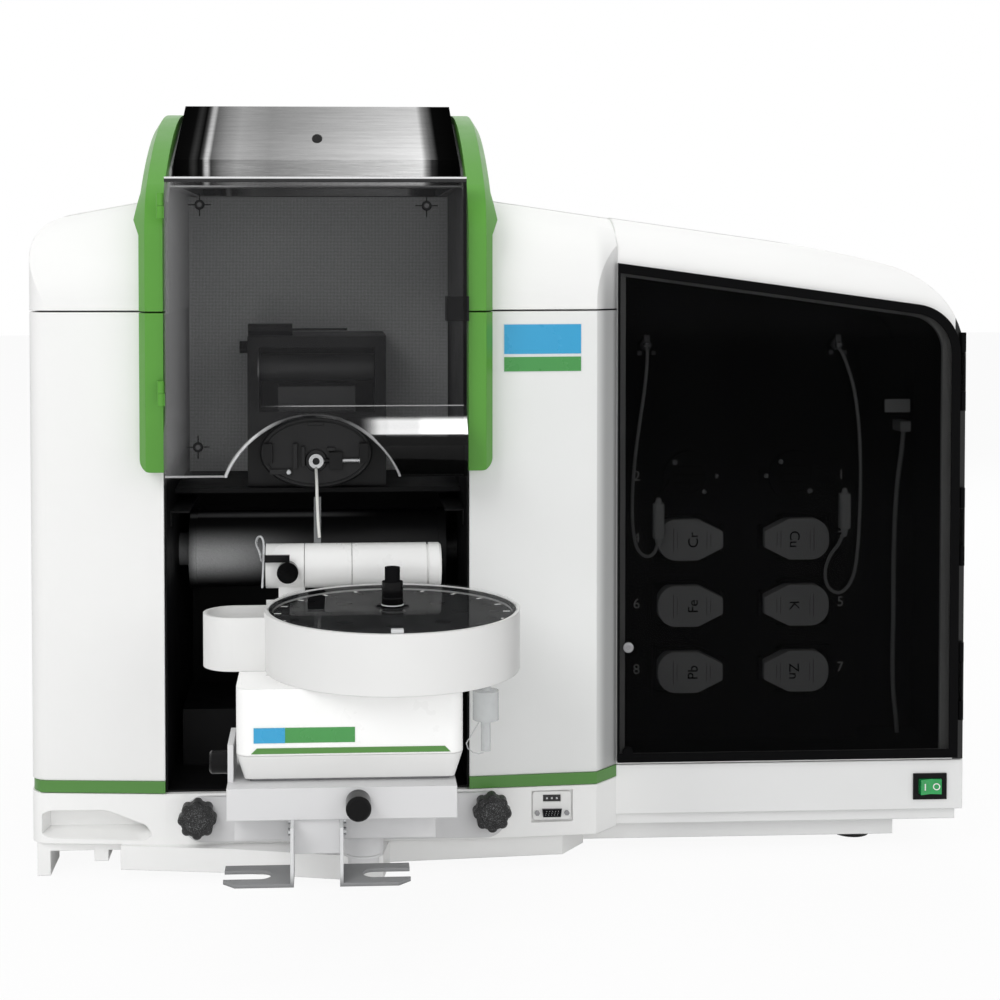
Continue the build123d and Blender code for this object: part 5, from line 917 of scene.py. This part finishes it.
arch_left, arch_right = (ARCH_ENDS[0], ARCH_FOOT_Z), (ARCH_ENDS[1], ARCH_FOOT_Z)
arch_x, arch_z, arch_radius = circle_through(arch_left, (BAY_X, ARCH_TOP_Z), arch_right)
arch_start = atan2(ARCH_FOOT_Z - arch_z, ARCH_ENDS[0] - arch_x)
arch_end = atan2(ARCH_FOOT_Z - arch_z, ARCH_ENDS[1] - arch_x)
arch_line = [edge_spot(ARCH_ENDS[0] - 0.5, ARCH_LINE_FOOT_Z)]
for step in range(ARCH_STEPS + 1):
    angle = arch_start + (arch_end - arch_start) * step / ARCH_STEPS
    x = arch_x + arch_radius * cos(angle)
    arch_line.append(edge_spot(x, arch_z + arch_radius * sin(angle)))
arch_line.append(edge_spot(ARCH_ENDS[1] + 0.5, ARCH_LINE_FOOT_Z))
bead("window_arch_edge", arch_line, 1.7, "polished_edge", "window")
FOOT_SIDES = (
    ("left", BAY_X - PANE_HALF_WIDE, ARCH_ENDS[0] - 1),
    ("right", ARCH_ENDS[1] + 1, BAY_X + PANE_HALF_WIDE),
)
for side, x_from, x_to in FOOT_SIDES:
    foot_line = [edge_spot(x_from + (x_to - x_from) * step / 4, FOOT_LINE_Z) for step in range(5)]
    bead("window_foot_edge_" + side, foot_line, 1.1, "edge_clear", "window")

# Black cup in the chimney's hole: painted shade, a dark sheet standing for the shade inside the hole
HOLE_SLOPE = Vector((0, -66, 145)).normalized()
HOLE_ACROSS = Vector((1, 0, 0))
HOLE_ALONG = HOLE_SLOPE.cross(HOLE_ACROSS)
HOLE_CENTRE = spot(BAY_X, 104.9, 742)
HOLE_HALF_WIDE, HOLE_HALF_TALL = 5.2, 12.4
rings = []
for sink in (0.4, 7):
    ring = []
    for angle in turns(24):
        across = HOLE_ACROSS * (HOLE_HALF_WIDE * cos(angle))
        along = HOLE_ALONG * (HOLE_HALF_TALL * sin(angle))
        ring.append(HOLE_CENTRE + (across + along - HOLE_SLOPE * sink) * MM)
    rings.append(ring)
shell("chimney_hole_shade_cup", (rings,), "board_black")

# Small parts on the contact head
CONTACT_FACE = 62
CONTACT_CLAMP = (
    ((-215, 54, 402), (-210.5, CONTACT_FACE, 428)),
    ((-206.5, 55, 404), (-203, CONTACT_FACE, 425)),
    ((-239, 58, 396), (-216, CONTACT_FACE, 401.5)),
    ((-180.5, 57, 420), (-172, CONTACT_FACE, 423.5)),
    ((-200, 59.5, 446), (-184, CONTACT_FACE, 449.5)),
)
BOLT_PLACE = (-219.5, 58.5, 398.5)
BOLT_RINGS = ((3, -3), (3, 1.2), (2.2, 2), (0.9, 2))
COLLAR_PLACE = (-191.5, 60.5, 410)
COLLAR_RINGS = ((11.5, -1.4), (11.5, 1), (10.6, 1.8), (8.6, 1.8))
BEAD_CENTRE, BEAD_HALF_WIDE, BEAD_HALF_TALL = (-191.5, 61.7, 418), 53, 32.5
blocks("contact_clamp", CONTACT_CLAMP, "contact_black")
turned("contact_bolt", (BOLT_PLACE,), BOLT_RINGS, "bright_metal")
turned("contact_collar", (COLLAR_PLACE,), COLLAR_RINGS, "contact_black", sides=28)
bead_line = []
for angle in (*turns(48), tau):
    x = BEAD_CENTRE[0] + BEAD_HALF_WIDE * cos(angle)
    bead_line.append(spot(x, BEAD_CENTRE[1], BEAD_CENTRE[2] + BEAD_HALF_TALL * sin(angle)))
bead("contact_bead", bead_line, 0.8, "contact_black", sides=6)

# Numbers at the lamp stations, and symbols and rules on the lamps
LAMP_ROWS = (388, 323, 253.5, 184)
LAMP_COLUMNS = (198, 310)
BOARD_FRONT, LAMP_FRONT = 85.7, 69.7
STATION_COLUMNS = (361, 144)
LETTER_TALL = 15
SYMBOLS = (("Cr", "Cu"), ("Fe", "K"), ("Pb", "Zn"))
LAMP_RULES = ((-18, 12, 0.8), (-14, 9, 0.5), (17, 9, 0.6), (21, 7, 0.6))
for row, height in enumerate(LAMP_ROWS):
    for column in (1, 0):
        number = str(2 * row + 1 + column)
        place = (STATION_COLUMNS[column], BOARD_FRONT, height)
        lettering("station_" + number, number, LETTER_TALL, place, "ink_white")
for height, pair in zip(LAMP_ROWS[1:], SYMBOLS):
    for hand, lamp_x, symbol in zip((1, -1), LAMP_COLUMNS, pair):
        name = "lamp_symbol_" + symbol
        place = (lamp_x + hand * 3, LAMP_FRONT, height)
        tilt = radians(90) * hand
        lettering(name, symbol, LETTER_TALL, place, "ink_dark", tilt, 0.5)
        rules = []
        for offset, half, wide in LAMP_RULES:
            line = lamp_x + hand * offset
            low = (line - wide / 2, LAMP_FRONT, height - half)
            rules.append((low, (line + wide / 2, LAMP_FRONT + 0.3, height + half)))
        blocks("lamp_rules_" + symbol, rules, "ink_grey")

# Screws, jacks and necks in the lamp bay
SCREW_RINGS = ((2.9, -0.5), (2.9, 1), (2.3, 1.7), (0.8, 1.5))
EAR_SCREWS = ((227.5, 83.9, 388), (280.5, 83.9, 388))
CATCH_PLACE = (126, 30.6, 220)
CATCH_RINGS = ((5.3, -0.4), (5.3, 0.6), (4.4, 1.2), (2.2, 1.2), (1.6, 0.5))
JACK_PLACES = ((352, 70, 526.5), (151, 70, 526.5))
NUT_RINGS = ((6.4, -7), (6.4, -2), (5.4, -1.2), (4.2, -1.2))
STUD_RINGS = ((3.6, -4), (3.6, 2.5), (3, 3.4), (1.4, 3.4))
LUG_BOXES = (
    ((-9.5, 67.5, 516), (-5.5, 72, 520.5)),
    ((5.5, 67.5, 516.5), (9, 72, 520.5)),
    ((-2.5, 68, 530), (3, 72, 537)),
)
PLUG_DEPTH = 59
LOW_NECK = ((2.2, -4), (3, 0), (4.2, 4.8))
HIGH_NECK = ((4, 0), (3.2, 3), (2.2, 6.5))
bezel_screws = []
for x in LAMP_COLUMNS:
    for hand in (-1, 1):
        bezel_screws.append((x + hand * 15.5, 77.9, LAMP_ROWS[0] - hand * 15.5))
turned("bezel_screws", bezel_screws, SCREW_RINGS, "bright_metal")
turned("ear_screws", EAR_SCREWS, SCREW_RINGS, "bright_metal", sides=16)
turned("catch_face", (CATCH_PLACE,), CATCH_RINGS, "dull_metal", "lamp_door", sides=28)
turned("jack_nuts", JACK_PLACES, NUT_RINGS, "dull_metal", sides=6)
turned("jack_studs", JACK_PLACES, STUD_RINGS, "bright_metal")
for side, (x, *_) in zip(("right", "left"), JACK_PLACES):
    lugs = [((x + low[0], *low[1:]), (x + high[0], *high[1:])) for low, high in LUG_BOXES]
    blocks("jack_lugs_" + side, lugs, "dull_metal")
for name, x, low, high in (("one", 357, 336, 372), ("two", 162, 327, 363.3)):
    necks = (("low_", low - 5, LOW_NECK), ("high_", high - 0.6, HIGH_NECK))
    for end, height, neck in necks:
        place = (x, PLUG_DEPTH, height)
        turned("plug_neck_" + end + name, (place,), neck, "plug_grey", upright=True)
BAY_PLATE = ((407, 84.6, 454), (434, 85.9, 468))
blocks("bay_plate", (BAY_PLATE,), "plug_grey", soften=0.5)

# Green trim that goes on round the left corner, along the left side and over the left half of the back
TRIM_CORNER = Vector((-456.5, 35))
TRIM_RADIUS, TRIM_DEEP = 19, 5
TRIM_TURN, TRIM_STEPS = radians(60), 6
TRIM_BACK_END = (115, 679)
TRIM_LOW, TRIM_HIGH = 85.2, 96.8


def trim_plan(inset):
    """Plan line of the trim's outer face, or of a line set in from it."""
    line = []
    for step in range(TRIM_STEPS + 1):
        angle = TRIM_TURN * (1 - step / TRIM_STEPS)
        way = Vector((-cos(angle), -sin(angle)))
        line.append(TRIM_CORNER + way * (TRIM_RADIUS - inset))
    back = TRIM_BACK_END[1] - inset
    return line + [Vector((line[-1].x, back)), Vector((TRIM_BACK_END[0], back))]


rings = []
for outside, inside in zip(trim_plan(0), trim_plan(TRIM_DEEP)):
    corners = ((outside, TRIM_LOW), (outside, TRIM_HIGH), (inside, TRIM_HIGH), (inside, TRIM_LOW))
    rings.append([spot(place.x, place.y, height) for place, height in corners])
shell("side_trim", (rings,), "stripe_green")

# Raised sparkling centres of the two star knobs
DOME = ((12.5, -1), (12.5, 0.4), (11.6, 1.6), (8.6, 2.5), (4.6, 2.9), (3.4, 2.4), (1.2, 2.3))
for side, x, z in (("left", -309, 64), ("right", -17, 66)):
    knob = "clamp_knob_" + side
    turned("star_centre_" + side, ((x, -16.6, z),), DOME, "grip_sparkle", knob, sides=36)

# Ribbed grip, foot and rings of the tray's hub, and the lid's tab
TUB_X, TUB_SET, TRAY_TOP = -120, -133, 292
HUB_PLACE = ((TUB_X, TUB_SET, TRAY_TOP),)
HUB_GRIP = ((9.65, 0.2), (9.8, 1.5), (9.8, 24), (9.65, 26.5), (9.65, 28.8))
turned("hub_grip", HUB_PLACE, HUB_GRIP, "gloss_black", "carousel", True, 80, 0.12, 16)
HUB_RINGS = (
    ("hub_foot", TRAY_TOP, ((12, 0.05), (12, 1.4), (11.2, 2.2), (10, 2.4)), "gloss_black"),
    ("hub_ring", 306, ((10, -0.8), (10.4, -0.3), (10.4, 0.3), (10, 0.8)), "gloss_black"),
    ("hub_base_line", 299.6, ((9.9, -0.5), (10.3, -0.2), (10.3, 0.2), (9.9, 0.5)), "plate_pale"),
)
for name, height, section, finish in HUB_RINGS:
    turned(name, ((TUB_X, TUB_SET, height),), section, finish, "carousel", True, 36)
LID_TAB = ((-125, -247.5, 297.1), (-114, -240.5, 300.6))
blocks("lid_tab", (LID_TAB,), "edge_clear", "lid", 0.8)

# Marks on the power rocker
ROCKER_TIP = radians(5)
ROCKER_X, ROCKER_DEPTH, ROCKER_HALF = 442, 39, 11.1
ROCKER_RISE, MARK_PROUD = 2.5, 0.15
ON_MARK = ((-7, 66.5), (-5.6, 66.5), (-5.6, 73.5), (-7, 73.5))
OFF_MARK_PLACE, OFF_MARK_RADII = (6, 70), (3.6, 2.6)


def rocker_spot(along, z):
    """Point just proud of the tipped rocker's front, which rises to both its ends."""
    proud = ROCKER_RISE + ROCKER_RISE * abs(along) / ROCKER_HALF + MARK_PROUD
    x = along * cos(ROCKER_TIP) + proud * sin(ROCKER_TIP)
    depth = -proud * cos(ROCKER_TIP) + along * sin(ROCKER_TIP)
    return spot(ROCKER_X + x, ROCKER_DEPTH + depth, z)


on_outline = [rocker_spot(along, z) for along, z in ON_MARK]
flat_marks("rocker_on_mark", (on_outline,), "ink_white", "power_switch")
rings = []
for radius in OFF_MARK_RADII:
    ring = []
    for angle in turns(24):
        along = OFF_MARK_PLACE[0] + radius * cos(angle)
        ring.append(rocker_spot(along, OFF_MARK_PLACE[1] + radius * sin(angle)))
    rings.append(ring)
shell("rocker_off_mark", (rings,), "ink_white", "power_switch", "open")

# Port plate: pins, sockets and posts
SOCKET_FLOOR = ((36.9, 12.9, 68.8), (54.1, 14.6, 75.2))
D_CENTRE_X, D_CENTRE_Z = 45.5, 57.5
D_OUTLINE = ((-9.4, 3.6), (9.4, 3.6), (8.3, -3.6), (-8.3, -3.6))
D_PLATES = (
    ("data_socket_shell", 0.8, (10.2, 11.2), "dull_metal", "steel"),
    ("data_socket_face", -0.4, (9.9, 10.6), "ink_dark", "black_plastic"),
)
PIN_RINGS = ((0.42, -0.2), (0.42, 0.25), (0.2, 0.35))
POST_PLACES = ((30.5, 11, D_CENTRE_Z), (60.5, 11, D_CENTRE_Z))
POST_RINGS = ((2.7, -0.6), (2.7, 1.8), (1.2, 1.8))
blocks("pin_socket_floor", (SOCKET_FLOOR,), "screw_dark")
socket_pins = [((x - 0.9, 11.9, 71.1), (x + 0.9, 13.2, 72.9)) for x in (40.5, 45.5, 50.5)]
blocks("pin_socket_pins", socket_pins, "bright_metal")
for name, grow, depths, finish, slot in D_PLATES:
    outline = []
    for across, along in D_OUTLINE:
        x = D_CENTRE_X + across + copysign(grow, across)
        outline.append((x, D_CENTRE_Z + along + copysign(grow, along)))
    rings = [[spot(x, depth, z) for x, z in outline] for depth in depths]
    shell(name, (rings,), finish)
pin_places = []
for row in (1.9, 0, -1.9):
    for step in (-2, -1, 0, 1, 2):
        pin_places.append((D_CENTRE_X + step * 3 + row * 0.3, 9.9, D_CENTRE_Z + row))
turned("data_socket_pins", pin_places, PIN_RINGS, "bright_metal", sides=8)
turned("data_socket_posts", POST_PLACES, POST_RINGS, "dull_metal", sides=6)

# Dark ring between the tray and the tub's rim
RING_SECTION = ((110.6, 293.6), (113.3, 293.6), (113.3, 296.3), (110.6, 296.3))
rings = []
for radius, height in RING_SECTION:
    ring = []
    for angle in turns(96):
        ring.append(spot(TUB_X + radius * cos(angle), TUB_SET + radius * sin(angle), height))
    rings.append(ring)
shell("tub_inner_ring", (rings,), "tray_black", "sampler", "joined")

# Clear bail on the drain nozzle
BAIL = (
    (-40.5, 189), (-47, 178), (-52, 170), (-50.5, 165), (-46, 161.5),
    (-40.5, 160), (-36, 161),
)
bail_line = [spot(x, TUB_SET, z) for x, z in BAIL]
bead("nozzle_bail", bail_line, 0.55, "edge_clear", "sampler", sides=6)

# White ticks between the tray's cups
TICK_FROM, TICK_TO, TICK_WIDE, TICK_PROUD = 102, 108.5, 3.4, 0.15
TICK_CORNERS = ((TICK_FROM, -1), (TICK_TO, -1), (TICK_TO, 1), (TICK_FROM, 1))
ticks = []
for angle in turns(20):
    along = Vector((cos(angle), sin(angle), 0))
    side = Vector((-along.y, along.x, 0)) * TICK_WIDE * MM / 2
    centre = spot(TUB_X, TUB_SET, TRAY_TOP + TICK_PROUD)
    ticks.append([centre + along * reach * MM + side * hand for reach, hand in TICK_CORNERS])
flat_marks("tray_ticks", ticks, "ink_white", "carousel")

# Studio floor, a plain sheet just under the feet that the camera sees almost white
FLOOR_HALF, FLOOR_Z = 12, -0.0006
FULL_WHITE = (1, 1, 1, 1)
floor_form = bmesh.new()
bmesh.ops.create_grid(floor_form, x_segments=2, y_segments=2, size=FLOOR_HALF)
for vertex in floor_form.verts:
    vertex.co.z = FLOOR_Z
floor = bpy.data.objects.new("studio_floor", mesh_from("studio_floor", floor_form))
bpy.context.scene.collection.objects.link(floor)
own = Finish("floor_pale")
clouds = own.noise(1.5, 2)
tone = own.mix(clouds.ramp(0.3, 0.7), paint(240, 240, 240), paint(243, 243, 243))
matt = own.shader(Base_Color=tone, Roughness=0.9, Specular_IOR_Level=0.1)
glow = own.node("ShaderNodeEmission", None, {"Color": FULL_WHITE, "Strength": 1})
seen = own.node("ShaderNodeLightPath", take="Is Camera Ray")
blend = own.node("ShaderNodeMixShader", None, {0: seen * 0.93, 1: matt, 2: glow})
floor.data.materials.append(own.end(blend))

# White world, dimmer for its light than for what the camera, mirrors and clear sheets see of it
SKY_DIM = 0.42
sky = Finish("studio", bpy.data.worlds.new("studio"))
bpy.context.scene.world = sky.owner
kinds = ("Camera", "Glossy", "Transmission")
rays = [sky.node("ShaderNodeLightPath", take="Is " + kind + " Ray") for kind in kinds]
seen = rays[0].math("MAXIMUM", rays[1]).math("MAXIMUM", rays[2])
dim, bright = [
    sky.node("ShaderNodeBackground", None, {"Color": FULL_WHITE, "Strength": strength})
    for strength in (SKY_DIM, 1)
]
blend = sky.node("ShaderNodeMixShader", None, {0: seen, 1: dim, 2: bright})
sky.end(blend, "ShaderNodeOutputWorld")


def soft_light(name, place, target, size, power):
    """Square studio light aimed at a point."""
    data = bpy.data.lights.new(name, "AREA")
    data.shape = "RECTANGLE"
    data.size, data.size_y = size
    data.energy = power
    lamp = bpy.data.objects.new(name, data)
    bpy.context.scene.collection.objects.link(lamp)
    lamp.location = Vector(place)
    lamp.rotation_euler = (Vector(target) - Vector(place)).to_track_quat("-Z", "Y").to_euler()
    lamp.visible_glossy = False


soft_light("key_light", (-1.8, -2.6, 2.4), (0, -0.1, 0.35), (1.6, 1.6), 40)
soft_light("fill_light", (1.9, -2.6, 1.4), (0, -0.1, 0.3), (1.6, 1.6), 13)
soft_light("front_light", (-0.2, -2.8, 0.7), (-0.1, -0.1, 0.35), (1.4, 1.4), 11)
soft_light("top_light", (0, 0.2, 2.8), (0, 0, 0.4), (2, 2), 23)
soft_light("back_light", (0.8, 2.8, 1.8), (0, 0.1, 0.4), (1.8, 1.8), 30)

bpy.context.scene.view_settings.view_transform = "Standard"
